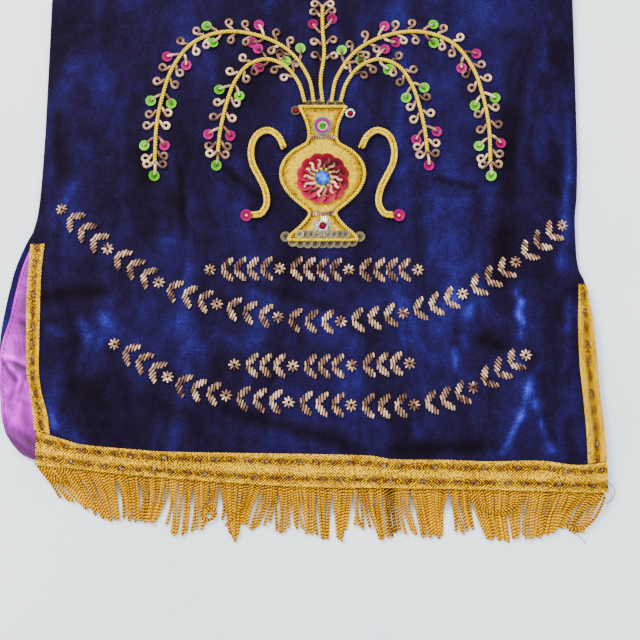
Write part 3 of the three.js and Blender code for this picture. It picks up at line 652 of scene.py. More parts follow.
def round_cords(lines, radius, sides, swell=1.0):
    """Tubes along lines (cord, station, 3), as points, faces and the corners' map (millimetres along,
    turns around). Each station has a ring at right angles to the line, radius times the swell there.
    Both ends are closed by a face."""
    lines = np.asarray(lines, float)
    count, length = lines.shape[:2]
    ahead = np.gradient(lines, axis=1)
    ahead /= np.linalg.norm(ahead, axis=-1, keepdims=True)
    side = np.cross(ahead, (0, 0, 1.0))
    side /= np.linalg.norm(side, axis=-1, keepdims=True) + 1e-9
    up = np.cross(side, ahead)
    turn = spread(sides)[:, None]
    size = radius * np.broadcast_to(swell, (count, length))[..., None, None]
    points = lines[:, :, None] + (side[:, :, None] * np.cos(turn) + up[:, :, None] * np.sin(turn)) * size
    number = np.arange(count * length * sides).reshape(count, length, sides)
    caps = np.concatenate([number[:, 0], number[:, -1, ::-1]])
    run = np.linalg.norm(np.diff(lines, axis=1), axis=-1).cumsum(1)
    run = np.concatenate([np.zeros((count, 1)), run], 1)[:, :, None] + np.zeros(sides)
    here, next_ = run[:, :-1], run[:, 1:]
    share = np.broadcast_to(np.arange(sides) / sides, here.shape)
    lay = np.stack([np.stack([here, next_, next_, here], -1),
                    np.stack([share, share, share + 1 / sides, share + 1 / sides], -1)], -1)
    ends = np.stack([np.repeat(run[:, [0, -1], 0].T.reshape(-1, 1), sides, 1),
                     np.zeros((2 * count, sides))], -1)
    return (points.reshape(-1, 3), [walls(number), caps],
            np.concatenate([lay.reshape(-1, 2), ends.reshape(-1, 2)]))


def winding(tree, pitch):
    """A sine wave that winds round a tube, once every pitch in millimetres along it, by its map."""
    lay = node(tree, "SeparateXYZ", {"Vector": node(tree, "UVMap", uv_map="lay")})
    angle = total(tree, 0.0, (lay.outputs["X"], TURN / pitch), (lay.outputs["Y"], TURN))
    return node(tree, "Math", {0: angle}, operation="SINE")


# twisted rayon: the two plies turn once in 4.6 mm, with painted shade in a groove every 2.3 mm and
# a painted highlight on the plies between
rayon_cord, tree, place = finish_for("golden_rayon_cord", Roughness=0.5, Specular_IOR_Level=0.015)
twist = winding(tree, 2.3)
fluff = node(tree, "TexNoise", {"Vector": place, "Scale": 900.0})
colour = node(tree, "ValToRGB", {"Fac": total(tree, fluff, (twist, 0.34), ("own", 1.0))}, [
    (0.0, "#1c0c06"), (0.2, "#502a00"), (0.42, "#a06600"), (0.6, "#c48400"), (0.85, "#e29e00"),
    (1.0, "#fcc000")])
dress(tree, colour, twist, 1.0, 0.0005)


def tape_foot(x):
    """Height of the heading tape's underside, just above the front's inner face at the hem."""
    return inner_height(x, front_hem(x)) + 0.15


rng = np.random.default_rng(7)
root_x = np.arange(HEM_LEFT + 1.35, HEM_RIGHT - 2.7, STRAND_PITCH)
cords = len(root_x)
fall = np.array(FALL)
lean, reach = (np.interp(root_x, fall[:, 0], fall[:, column]) for column in (1, 2))
reach = reach + rng.normal(0, 1.1, cords)
lean = lean + rng.normal(0, 0.9, cords)
out = np.array([-0.06, 0.02, 0.12, 0.24, 0.38, 0.52, 0.68, 0.84, 0.95, 1.0])
past = np.clip(out, 0, 1)
drop = np.interp(out, FALL_OUT, FALL_DOWN)
root_z = tape_foot(root_x) + 0.9
tip_z = STRAND_WIDE * 0.42 + rng.uniform(0, 2.2, cords)         # cords lie over each other where they meet
curl = rng.normal(0, 0.9, cords)[:, None] * np.sin(past * math.pi)
lines = np.stack([root_x[:, None] + lean[:, None] * past ** 1.1 + curl,
                  along(BAND_BOTTOM, root_x)[:, None] - reach[:, None] * out,
                  root_z[:, None] + (tip_z - root_z)[:, None] * drop], -1)
swell = np.interp(out, [0, 0.1, 0.85, 0.95, 1], [0.85, 1, 1, 1.12, 0.5])
points, faces, lay = round_cords(lines, STRAND_WIDE / 2, STRAND_SIDES, swell)
per_cord = np.repeat(rng.uniform(0, 2.3, cords), (len(out) - 1) * STRAND_SIDES * 4)
lay[:len(per_cord), 0] += per_cord                              # no two cords' turns are level
own = 0.14 + rng.normal(0, 0.07, cords) - 0.45 * np.exp(-((root_x - STAIN_X) / 4.0) ** 2)
# painted shade: each cord is darker near its root, under the band
own = np.repeat(own[:, None] - 0.15 * np.exp(-past / 0.08), STRAND_SIDES, 1)

stray_lines = []
for corners in STRAYS:
    plan = through(corners, 0.5)
    share = np.linspace(0, 1, 22)
    x, y = sampled(plan, np.linspace(0, 1, len(plan)), share).T
    root = tape_foot(x) + 0.9
    below = (along(BAND_BOTTOM, x) - y) / np.interp(x, fall[:, 0], fall[:, 2])
    z = root + (2.0 - root) * np.interp(below, FALL_OUT, FALL_DOWN) + 1.5 * np.sin(share * math.pi) ** 0.5
    stray_lines.append(np.stack([x, y, z], -1))
stray_points, stray_faces, stray_lay = round_cords(stray_lines, STRAND_WIDE / 2, STRAND_SIDES)

x = np.broadcast_to(np.linspace(HEM_LEFT, HEM_RIGHT - 1, 160), (4, 160))
y = along(BAND_BOTTOM, x) + np.array(TAPE_UP)[:, None]
tape_points, tape_faces = closed_sheet(x, y, tape_foot(x), tape_foot(x) + TAPE_THICK)
before_tape = len(points) + len(stray_points)
fringe = add_piece(
    "cord_fringe", np.concatenate([points, stray_points, tape_points]),
    faces + [group + len(points) for group in stray_faces] + [group + before_tape for group in tape_faces],
    rayon_cord, "fringe_cord",
    own=np.concatenate([own.ravel(), np.full(len(stray_points), 0.02), np.full(len(tape_points), -0.05)]),
    lay=np.concatenate([lay, stray_lay, np.zeros((sum(g.size for g in tape_faces), 2))]))
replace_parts(fringe, "fringe")


# Urn appliqué
# A flower urn cut from yellow matted brocade, padded a little and sewn on the front, with a two-ply
# gold cord couched all round its edge and bars of bullion purl across its neck and its waist.

URN_X, URN_FOOT_Y, URN_HIGH = 2, -197, 104
URN_HALF = [            # height above the urn's foot, half width
    (0, 26), (4, 23.5), (11, 16), (18, 10.6), (22, 10.4), (29, 18.5), (38, 27), (49, 31.5), (60, 29.6),
    (69, 22), (75, 12.5), (81, 10.6), (90, 11.8), (98, 14.8), (104, 18),
]
URN_LIFT, URN_TOP = 0.3, 1.8                # above the velvet

# matted gold threads of about 0.4 mm, drawn at 1.1 mm, soiled in places, with painted light over the
# padded middle and painted shade towards the edges by the cord
brocade, tree, place = finish_for("yellow_matted_brocade", Roughness=0.6, Specular_IOR_Level=0.02)
mat = node(tree, "TexNoise", {"Vector": place, "Scale": 850.0, "Detail": 3.0, "Roughness": 0.6})
knot = node(tree, "TexVoronoi", {"Vector": place, "Scale": 620.0})
soil = node(tree, "TexNoise", {"Vector": place, "Scale": 90.0, "Detail": 3.0})
tone = total(tree, mat, (knot, -0.45), (soil, 0.4), ("inward", 0.5))
dress(tree, node(tree, "ValToRGB", {"Fac": tone}, [
    (0.50, "#5a3800"), (0.68, "#8e6a00"), (0.88, "#ac8800"), (1.0, "#ccaa00")]), tone, 0.7, 0.0004)

up, across = np.linspace(0.4, URN_HIGH - 0.4, 130), np.linspace(-1, 1, 61)
half = along(URN_HALF, up)[:, None] - 0.4
x, y = URN_X + half * across, URN_FOOT_Y + up[:, None] + 0 * across
inward = np.minimum(half * (1 - np.abs(across)), np.minimum(up, URN_HIGH - up)[:, None])
padding = 1 - np.exp(-np.maximum(inward - 1.2, 0) / 2.2)
relief = 0.07 * np.sin(x * 3.9) * np.sin(y * 3.9)
low = face_height(x, y) + URN_LIFT
points, faces = closed_sheet(x, y, low, low + 0.6 + 0.75 * padding + relief * padding)
# painted light and shade: paler over the padded middle, darker towards the edges
urn = add_piece("urn_brocade", points, faces, brocade, "gold_cord",
                inward=both(np.clip(inward / 7, 0, 1)))
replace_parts(urn, "urn_applique")


def heading(plan):
    """Unit steps ahead at each point of a plan line."""
    ahead = np.gradient(plan, axis=0)
    return ahead / np.hypot(*ahead.T)[:, None]


def raised(plan, z):
    """Plan points at their heights."""
    return np.concatenate([plan, z[..., None]], -1)


def on_velvet(plan, lift):
    """Plan points raised to a lift above the front's velvet."""
    plan = np.asarray(plan, float)
    return raised(plan, face_height(plan[..., 0], plan[..., 1]) + lift)


def plies(middle, swing, pitch, count, braid):
    """Centre lines of a cord's plies about its middle line: sideways by swing times the sine of an angle
    that turns once a pitch, and upwards by the cosine, or in a braid by half the sine of twice the
    angle. The plies share the turn evenly."""
    plan, height = middle[:, :2], middle[:, 2]
    ahead = heading(plan)
    side = np.stack([ahead[:, 1], -ahead[:, 0]], -1)
    angle = (distances(plan) / pitch + np.arange(count)[:, None] / count) * TURN
    lift = 0.5 * np.sin(2 * angle) if braid else np.cos(angle)
    return raised(plan + side * (swing * np.sin(angle))[..., None], height + swing * lift)


# laid silk: each ply is spun of finer threads, which slant across it every 0.9 mm, with a little painted
# shade between them
gold_cord, tree, place = finish_for("gold_silk_cord", Roughness=0.5, Specular_IOR_Level=0.05)
fine_twist = winding(tree, 0.9)
fluff = node(tree, "TexNoise", {"Vector": place, "Scale": 500.0, "Detail": 3.0})
colour = node(tree, "ValToRGB", {"Fac": total(tree, "shade", (fine_twist, 0.09), (fluff, 0.55))}, [
    (0.02, "#3e2800"), (0.18, "#967000"), (0.34, "#ccaa00"), (0.52, "#fcd800")])
dress(tree, colour, fine_twist, 0.5, 0.0002)


def add_cord(name, plan, lift, wide, pitch, count=2, braid=False, sides=6):
    """A laid or braided cord along plan points, lying a lift above the velvet: its plies are tubes, each
    shaded darker on the side that faces its neighbours."""
    middle = on_velvet(plan, lift + wide / 2)
    swing, ply = (0.27, 0.25) if braid else (0.22, 0.29)
    points, faces, lay = round_cords(plies(middle, swing * wide, pitch, count, braid), ply * wide, sides)
    away = np.linalg.norm(points.reshape(count, len(plan), sides, 3) - middle[None, :, None], axis=-1)
    return add_piece(name, points, faces, gold_cord, "gold_cord", lay=lay,
                     shade=(away / (0.5 * wide) - 0.75) * 0.8)


edge_half = along(URN_HALF, np.linspace(0, URN_HIGH, 120)) - 0.3
edge_up = URN_FOOT_Y + np.linspace(0.6, URN_HIGH - 0.6, 120)
right_edge, left_edge = (np.stack([URN_X + side * edge_half, edge_up], -1) for side in (1, -1))
add_cord("urn_edge_cord", evenly(np.concatenate([right_edge, left_edge[::-1], right_edge[:1]]), 0.6),
         URN_LIFT + 0.35, 2.5, 4.2)


# Bullion purl
# Short lengths of springy copper-wire purl, tarnished to a pale tan, threaded on and sewn down like
# beads: the bars on the urn, the stamens of its flower, the leaves of the sprays and the garlands.

# dull coiled wire, brown in its tarnish: it coils every 0.35 mm, drawn at 0.75 mm, with a little
# painted shade between the turns
purl, tree, place = finish_for("tarnished_bullion_purl", Roughness=0.45, Metallic=0.2,
                               Specular_IOR_Level=0.2)
coil = winding(tree, 0.75)
tarnish = node(tree, "TexNoise", {"Vector": place, "Scale": 160.0, "Detail": 3.0})
colour = node(tree, "ValToRGB", {"Fac": total(tree, tarnish, (coil, 0.08), ("own", 1.0))}, [
    (0.22, "#34201a"), (0.40, "#7a5844"), (0.55, "#bc9472"), (0.70, "#fcd6ae")])
dress(tree, colour, coil, 0.7, 0.0003)


def compass(angle):
    """Unit steps in the plan at these angles: the cosine and the sine."""
    return np.stack([np.cos(angle), np.sin(angle)], -1)


def add_tubes(name, lines, radius, sides, finish, slot, swell=1.0, **values):
    """Tubes along lines as one piece."""
    points, faces, lay = round_cords(lines, radius, sides, swell)
    return add_piece(name, points, faces, finish, slot, lay=lay, **values)


def add_purl(name, lines, radius, sides=6):
    """Purl pieces along lines (piece, station, 3), each blunt at its ends and a little lighter or darker
    than the next."""
    swell = np.ones(lines.shape[1])
    swell[[0, -1]] = 0.7
    own = np.random.default_rng(len(lines)).normal(0, 0.09, len(lines))
    add_tubes(name, lines, radius, sides, purl, "bullion", swell, own=np.repeat(own, len(swell) * sides))


def strokes(middles, angle, length, lift, bow=0.35, count=5):
    """Straight purl pieces on the velvet, bowed up in the middle: plan middles, directions in radians
    and lengths; the height is the velvet's, the lift, and a half wave of the bow along each."""
    share = np.linspace(-0.5, 0.5, count)
    out = share * np.asarray(length)[:, None]
    return on_velvet(middles[:, None] + compass(angle)[:, None] * out[..., None],
                     lift + bow * np.cos(share * math.pi))


rng = np.random.default_rng(11)
bar_x = URN_X + np.tile(np.linspace(-8.6, 8.6, 10), 2)
bar_y = URN_FOOT_Y + np.repeat([20.5, 79.5], 10)                # the waist and the neck
add_purl("urn_purl_bars", strokes(np.stack([bar_x, bar_y], -1), rng.normal(1.2, 0.12, 20),
                                  np.full(20, 3.4), URN_TOP + 0.35), 0.8)


# Sequins
# Cupped plastic sequins, each pressed with flat facets round a low middle and sewn down through a
# hole: the urn's flower, the handles' ends, the rows at its foot and mouth, and the sprays' buds.

FLOWER = np.array([URN_X, URN_FOOT_Y + 47.0])
PETALS, PETAL_OUT, PETAL_RADIUS, PETAL_LIFT = 12, 13.6, 6.3, 2.5
STAMENS, STAMEN_FROM, STAMEN_LIFT = 14, 6.4, 4.3
SEED_BEADS, SEED_OUT, SEED_RADIUS, SEED_LIFT = 12, 6.9, 0.95, 4.6


def cupped(centres, radius, tilt, cup=0.22, sides=12, thick=0.25):
    """Cupped discs, as points and faces: rings from the hole out to the rim on the upper face and back on
    the lower one, at the cup's height times a slow curve of the radius, tilted by a slope in x and
    in y. Also gives each point's share of the radius."""
    out = np.array([0.12, 0.42, 0.72, 0.93, 1.0, 0.93, 0.72, 0.42, 0.12])
    level = np.array([0, 0.04, 0.45, 0.85, 0.95, 0.85, 0.45, 0.04, 0]) * cup
    under = np.array([1, 1, 1, 1, 0.5, 0, 0, 0, 0])[:, None] * thick
    off = radius * out[:, None, None] * compass(spread(sides)) * np.ones((len(centres), 1, 1, 1))
    slope = (off * np.asarray(tilt, float)[:, None, None]).sum(-1)
    points = raised(centres[:, None, None, :2] + off,
                    centres[:, None, None, 2] + level[:, None] * radius + under + slope)
    number = np.arange(slope.size).reshape(slope.shape)
    return (points.reshape(-1, 3), [walls(np.concatenate([number, number[:, :1]], 1))],
            np.broadcast_to(out[:, None], number.shape))


def sequin_plastic(name, *stops):
    """Moulded glossy plastic: painted shade in the cup and a painted highlight on the rim, and scuffed here
    and there.
    """
    made, tree, place = finish_for(name, Roughness=0.3, Specular_IOR_Level=0.06)
    scuff = node(tree, "TexNoise", {"Vector": place, "Scale": 420.0, "Detail": 3.0})
    tone = total(tree, "own", ("out", 0.45), (scuff, 0.35))
    dress(tree, node(tree, "ValToRGB", {"Fac": tone}, stops))
    rough = node(tree, "MapRange", {"Value": scuff, "To Min": 0.22, "To Max": 0.42})
    tree.links.new(rough.outputs[0], tree.nodes["Principled BSDF"].inputs["Roughness"])
    return made


crimson = sequin_plastic("crimson_sequin_plastic", (0.25, "#30000a"), (0.55, "#620016"), (0.80, "#88002a"),
                         (1.0, "#a0003c"))
magenta = sequin_plastic("magenta_sequin_plastic", (0.25, "#4c0028"), (0.55, "#780040"), (0.80, "#980062"),
                         (1.0, "#cc0098"))
lime = sequin_plastic("lime_sequin_plastic", (0.25, "#184400"), (0.55, "#3c8800"), (0.80, "#60b818"),
                      (1.0, "#90e050"))
clear = sequin_plastic("smoky_clear_sequin_plastic", (0.2, "#1e1812"), (0.5, "#40382c"), (0.8, "#706448"),
                       (1.0, "#a09478"))


def add_sequins(name, centres, radius, finish, slot, own=0.2, tilt=None, **shape):
    """Sequins as one piece; own is how light each is, from 0 to about half."""
    tilt = np.zeros((len(centres), 2)) if tilt is None else tilt
    points, faces, out = cupped(centres, radius, tilt, **shape)
    own = np.repeat(np.broadcast_to(own, len(centres)), len(points) // len(centres))
    return add_piece(name, points, faces, finish, slot, sharp=25, out=out, own=own)


turn = spread(PETALS, 0.26)
# painted light: the petals are lighter towards the lower left and darker towards the upper right
painted_petal_light = 0.22 - 0.24 * np.cos(turn - math.radians(35)) + rng.normal(0, 0.04, PETALS)
flower = add_sequins(
    "flower_sequins", on_velvet(FLOWER + PETAL_OUT * compass(turn), PETAL_LIFT), PETAL_RADIUS, crimson,
    "red_sequin", painted_petal_light, compass(turn + math.pi / 2) * 0.11, cup=0.16, sides=16)
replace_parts(flower, "urn_flower")

# wavy stamens and a ring of little gold beads stand round the stone
ray = np.linspace(0, 1, 12)
turn = spread(STAMENS) + rng.normal(0, 0.05, STAMENS)
reach = STAMEN_FROM + ray * rng.uniform(7.4, 9.2, STAMENS)[:, None]
swing = turn[:, None] + 0.10 * np.sin(ray * TURN + rng.uniform(-0.4, 0.4, STAMENS)[:, None])
z = face_height(*FLOWER) + STAMEN_LIFT + 0.9 * np.sin(ray * math.pi) - 0.3 * ray
add_purl("flower_stamens", raised(FLOWER + reach[..., None] * compass(swing), z + 0 * reach), 1.0)


def add_beads(name, centres, radius, finish, slot, own=0.0):
    """Round beads: seven rings of eight points, at the sine and the cosine of even steps from the
    bottom to the top."""
    polar = np.linspace(0.12, math.pi - 0.12, 7)[:, None]
    ball = raised(np.sin(polar)[..., None] * compass(spread(8)), -np.cos(polar) + np.zeros(8))
    number = np.arange(len(centres) * 56).reshape(-1, 7, 8)
    points = (centres[:, None, None] + radius * ball).reshape(-1, 3)
    add_piece(name, points, [walls(number)[:, [0, 3, 2, 1]], number[:, 0, ::-1], number[:, -1]], finish, slot,
              sharp=80, out=0.6, own=own, shade=0.15)


add_beads("flower_beads", on_velvet(FLOWER + SEED_OUT * compass(spread(SEED_BEADS, 0.13)), SEED_LIFT),
          SEED_RADIUS, gold_cord, "gold_cord")


# Stone
# A blue glass stone, cut with twelve facets round its table and foiled on the back; the light the foil
# throws back is painted into its colour, which makes some facets dark and some light.

STONE_RADIUS, STONE_TALL, STONE_LIFT = 5.5, 2.9, 3.7

# polished glass, deep blue with a few light facets where the foil throws the light back
cut_glass, tree, place = finish_for("foiled_blue_glass", Roughness=0.06, Specular_IOR_Level=0.3,
                                    Coat_Weight=0.1, Coat_Roughness=0.03)
depth = node(tree, "TexVoronoi", {"Vector": place, "Scale": 420.0})
dress(tree, node(tree, "ValToRGB", {"Fac": total(tree, "facet", (depth, 0.5))}, [
    (0.0, "#020830"), (0.35, "#061464"), (0.65, "#0830b0"), (1.0, "#2070e8")]))


def cut_stone(name, middle, radius, lift, tall, finish, slot, facets=12):
    """A cut stone: rings at the girdle's foot and top, half-way up the crown and at the table, the last two
    each turned by half a facet from the one before, joined by three-cornered facets and closed by the table."""
    base = face_height(*middle) + lift
    points = np.concatenate([
        raised(middle + radius * out * compass(spread(facets, shift / facets * TURN)),
               np.full(facets, base + tall * up))
        for out, up, shift in ((1.0, 0.0, 0), (1.0, 0.32, 0), (0.80, 0.72, 0.5), (0.52, 1.0, 0))])
    number = np.arange(4 * facets).reshape(4, facets)
    after = np.roll(number, -1, axis=1)
    wall = np.stack([number[0], after[0], after[1], number[1]], -1)
    crown = np.concatenate([np.stack(corners, -1) for corners in (
        (number[1], after[1], number[2]), (after[1], after[2], number[2]),
        (number[2], after[3], number[3]), (number[2], after[2], after[3]))])
    # painted reflections: facets set lighter and darker in turn
    shine = np.resize([0.1, 0.5, 0.25, 0.65, 0.3, 0.8], 4 * facets)
    return add_piece(name, points, [wall, crown, number[3][None], number[0][::-1][None]], finish, slot,
                     sharp=8, facet=shine, out=shine, own=0.1)


stone = cut_stone("flower_stone", FLOWER, STONE_RADIUS, STONE_LIFT, STONE_TALL, cut_glass, "blue_stone")
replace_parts(stone, "urn_flower_stone")


# Neck sequin and foot jewel
# A large round sequin printed in rings on the neck, and on the foot a red cut stone in a bright
# round claw setting whose rays are silver wire.

NECK = np.array([[URN_X, URN_FOOT_Y + 88.0]])
NECK_RADIUS, NECK_LIFT = 6.9, 2.3
JEWEL = np.array([URN_X, URN_FOOT_Y + 11.0])
RAYS, RAY_LONG, CLAW_RADIUS, JEWEL_RADIUS = 26, 7.4, 3.7, 2.7

# printed plastic, green in the middle, then a pale line, a wide pink ring and a sea-green rim
ringed, tree, place = finish_for("ringed_sequin_plastic", Roughness=0.22, Specular_IOR_Level=0.1)
scuff = node(tree, "TexNoise", {"Vector": place, "Scale": 380.0})
dress(tree, node(tree, "ValToRGB", {"Fac": total(tree, "out", (scuff, 0.10))}, [
    (0.16, "#102808"), (0.30, "#207800"), (0.46, "#409820"), (0.52, "#90b8a0"), (0.60, "#780050"),
    (0.90, "#800060"), (0.96, "#005c58"), (1.0, "#108078")]))
neck_sequin = add_sequins("neck_sequin", on_velvet(NECK, NECK_LIFT), NECK_RADIUS, ringed, "pink_sequin", 0.0,
                          cup=0.12, sides=28)
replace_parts(neck_sequin, "urn_neck_sequin")
add_beads("neck_beads", on_velvet(NECK + np.array([(-1.3, 0.6), (1.2, 1.0), (0.1, -1.2)]), 3.0), 0.9, lime,
          "green_sequin", 0.1)

# crinkled silver foil, with glints of grey and white
silver, tree, place = finish_for("silver_foil_plastic", Roughness=0.2, Metallic=0.8)
glint = node(tree, "TexNoise", {"Vector": place, "Scale": 520.0})
dress(tree, node(tree, "ValToRGB", {"Fac": glint}, [(0.35, "#3a5458"), (0.5, "#a8b4b0"), (0.65, "#f2f4ee")]))
turn = spread(RAYS)[:, None]
share = np.linspace(0.36, 1, 5)
plan = JEWEL + (RAY_LONG * share * (1 + 0.06 * np.sin(turn * 7)))[..., None] * compass(turn)
z = face_height(*JEWEL) + 2.3 + 0.5 * (1 - share) + 0 * turn
jewel = add_tubes("foot_jewel_rays", raised(plan, z), 0.34, 5, silver, "silver_sequin")
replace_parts(jewel, "urn_foot_sequin")
add_sequins("foot_jewel_claw", on_velvet(JEWEL[None], 2.5), CLAW_RADIUS, silver, "silver_sequin", cup=0.25)
cut_stone("foot_jewel_stone", JEWEL, JEWEL_RADIUS, 2.9, 1.6, crimson, "red_sequin")


# Handles
# Two scroll handles of three-strand braid, couched beside the urn, each ending in a pink sequin that
# is held down by a bead.

HANDLE = [              # out from the urn's middle, up from its foot
    (29, 71), (33.5, 80), (41, 84.5), (49.5, 80.5), (53.5, 70.5), (52.5, 59), (47.5, 48.5), (43, 39),
    (41.5, 28.5), (45.5, 20.5), (52, 19.2),
]
HANDLE_WIDE, HANDLE_PITCH = 4.9, 6.4
for side, cad_node in ((-1, "urn_handle_left"), (1, "urn_handle_right")):
    plan = through([(URN_X + side * out, URN_FOOT_Y + up) for out, up in HANDLE], 0.6)
    handle = add_cord("braided_" + cad_node[4:], plan, 0.3, HANDLE_WIDE, HANDLE_PITCH, 3, True, 8)
    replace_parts(handle, cad_node)
    end = np.array([[URN_X + side * 56.6, URN_FOOT_Y + 19.2]])
    bud = add_sequins("pink_" + cad_node[4:] + "_end", on_velvet(end, 0.5), 4.5, magenta, "pink_sequin", 0.1,
                      cup=0.35)
    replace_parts(bud, cad_node.replace("urn_handle", "handle_sequin"))
    add_beads("bead_of_" + cad_node[4:], on_velvet(end, 1.5), 1.1, gold_cord, "gold_cord")


# Stems
# Five stems of two-ply gold silk cord, couched down along their whole length in arching lines from the
# urn's mouth: an inner and an outer pair that mirror each other, and one in the middle.

STEM_INNER = [          # out from the urn's middle, up from its foot
    (13.5, 107), (18, 122), (28, 135), (42, 141), (57, 136), (67, 122), (73, 104), (77, 84), (78.5, 68),
]
STEM_OUTER = [
    (6.5, 107), (11, 127), (26, 148), (49, 160), (75, 163), (99, 154), (114, 134), (121, 112), (125, 88),
    (125.5, 60),
]
STEM_CENTRE = [(0, 107), (-1.5, 125), (1.2, 145), (0, 166), (0, 184)]
STEM_WIDE, STEM_PITCH = 2.9, 4.4
stems = {}
for cad_node, side, table in (
    ("stem_inner_left", -1, STEM_INNER), ("stem_inner_right", 1, STEM_INNER),
    ("stem_outer_left", -1, STEM_OUTER), ("stem_outer_right", 1, STEM_OUTER),
    ("stem_centre", 1, STEM_CENTRE),
):
    stems[cad_node] = through([(URN_X + side * out, URN_FOOT_Y + up) for out, up in table], 0.6)
    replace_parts(add_cord("twisted_" + cad_node, stems[cad_node], 0.3, STEM_WIDE, STEM_PITCH), cad_node)


# Sprays
# Pairs of leaves along each stem: two pairs of bullion purl that hook round into loops, then a pair that
# holds down cupped sequins. Each tip has a tuft of purl and, but for the middle stem's, one sequin.

LEAF_PITCH, STALK_WIDE, STALK_LONG = 11.5, 2.2, 9.0
HOOK_RADIUS, BUD_RADIUS = 2.2, 3.9
rng = np.random.default_rng(23)
hooks, stalks, buds = [], [], {"lime": [], "magenta": []}
for cad_node, plan in stems.items():
    run, ahead = distances(plan), heading(plan)
    back = np.arange(6, run[-1] - 26, LEAF_PITCH)
    for number, from_tip in enumerate(back):
        for side in (-1, 1):
            at = np.searchsorted(run, run[-1] - from_tip - (2.5 if side > 0 else 0) - rng.uniform(0, 2))
            angle = math.atan2(ahead[at][1], ahead[at][0]) + side * rng.uniform(0.62, 0.85)
            start = plan[at] + 1.6 * side * np.array([-ahead[at][1], ahead[at][0]])
            if number % 3 == 1:
                stalks.append((start, angle, side))
                buds["lime" if number % 2 == 0 or rng.uniform() < 0.2 else "magenta"].append(
                    start + 9.2 * np.array([math.cos(angle), math.sin(angle)]))
            else:
                hooks.append((start, angle, side))
    tip, angle = plan[-1], math.atan2(ahead[-1][1], ahead[-1][0])
    for turn in (-1.0, 1.0):
        hooks.append((tip - 0.5 * ahead[-1], angle + turn * 0.9, turn))
    if cad_node != "stem_centre":
        stalks.append((tip + 1.0 * ahead[-1], angle, 1))
        buds["lime" if "outer" in cad_node or "left" in cad_node else "magenta"].append(
            tip + 10.6 * ahead[-1])


def leaf_lines(leaves, outward, across, lift):
    """Leaf centre lines on the velvet: a shape along and across its own axis, turned to each leaf's
    angle, mirrored to its side and raised by the lift."""
    start, angle, side = (np.array(column, float)[:, None] for column in zip(*leaves))
    off_axis = compass(angle + math.pi / 2) * side[..., None]
    return on_velvet(start + compass(angle) * outward[:, None] + off_axis * across[:, None], lift)


# the hook: a stalk 6 mm long, then most of a circle that turns back over its end
bend = np.linspace(-math.pi / 2, math.pi * 1.12, 13)
outward = np.concatenate([[0, 2.0, 4.2], 6.1 + HOOK_RADIUS * np.cos(bend)])
across = np.concatenate([[0.5, 0.1, -0.2], 2.0 + HOOK_RADIUS * np.sin(bend)])
lift = 1.25 + np.concatenate([[0.3, 0.5, 0.3], np.linspace(0, 0.9, 13)])
add_purl("spray_hooks", leaf_lines(hooks, outward, across, lift), STALK_WIDE / 2 - 0.05)
outward = np.linspace(0, STALK_LONG, 7)
across, lift = 0.5 * np.sin(outward / 3), 1.3 + 1.3 * (outward / STALK_LONG) ** 2
add_purl("spray_stalks", leaf_lines(stalks, outward, across, lift), STALK_WIDE / 2 - 0.05)
for name, finish, slot in (("lime", lime, "green_sequin"), ("magenta", magenta, "pink_sequin")):
    places = np.array(buds[name])
    tilt = rng.normal(0, 0.10, (len(places), 2))
    add_sequins("spray_" + name + "_sequins", on_velvet(places, 0.6), BUD_RADIUS, finish, slot,
                rng.uniform(0.0, 0.3, len(places)), tilt, cup=0.36)


# Rows at the urn's foot and mouth
# Smoky clear sequins, sewn in a row inside the foot, in a scalloped row that hangs from under it and
# behind the mouth, and a small red stone in a ring at each corner of the mouth.

INSIDE_X = np.linspace(-17, 17, 9)
UNDER_HALF = 27.5
UNDER_X = np.linspace(-UNDER_HALF, UNDER_HALF, 11)
MOUTH = [(-9, 105.2), (-2, 105.8), (6.5, 105.6), (12.5, 105.0)]     # from the foot's middle
CORNERS = [("left", -20.4, 100.5, clear), ("right", 20.8, 98.5, silver)]

urn_foot = np.array([URN_X, URN_FOOT_Y])
inside = urn_foot + np.stack([INSIDE_X, np.full(9, 4.6)], -1)
under = urn_foot + np.stack([UNDER_X, 5 * (np.abs(UNDER_X) / UNDER_HALF) ** 6 - 1.8], -1)
add_sequins("foot_row_sequins", on_velvet(inside, 2.2), 3.2, clear, "silver_sequin",
            rng.uniform(0.15, 0.4, 9), np.tile([0.1, 0], (9, 1)), cup=0.2)
add_sequins("hanging_sequins", on_velvet(np.concatenate([under, urn_foot + np.array(MOUTH)]), 0.45), 3.9,
            clear, "silver_sequin", rng.uniform(-0.05, 0.2, 15), np.tile([0.06, 0], (15, 1)), cup=0.12)
for name, out, up, finish in CORNERS:
    add_sequins("mouth_corner_ring_" + name, on_velvet([urn_foot + (out, up)], 0.5), 3.6, finish,
                "silver_sequin", 0.0, cup=0.25)
for number, (_, out, up, _) in enumerate(CORNERS):
    cut_stone("mouth_corner_stone_%d" % number, urn_foot + (out, up), 2.2, 1.0, 1.5, crimson, "red_sequin")


# Leaf garlands
# Four running leaf garlands in slanted bullion purl, two straight and two that curve up to the sides.
# Each leaf is a row of short strokes, and a little round rosette parts the leaves here and there.

GARLANDS = [            # plan corners of each middle line
    [(-81, -219), (-30, -218), (20, -219), (72, -219)],
    [(-192, -173), (-154, -205), (-99, -237), (-7, -257), (70, -249), (125, -226), (180, -185)],
    [(-62, -289), (0, -290), (65, -288)],
    [(-149, -274), (-87, -307), (18, -318), (90, -314), (149, -282)],
]
LEAF_LONG, LEAF_OFF, LEAF_PAIR = 11.5, math.radians(38), 10.5
STROKES, STROKE_SLANT, REST = 5, math.radians(58), 47.0
ROSETTE, ROSETTE_OUT, ROSETTE_STROKE = 8, 2.7, 3.0


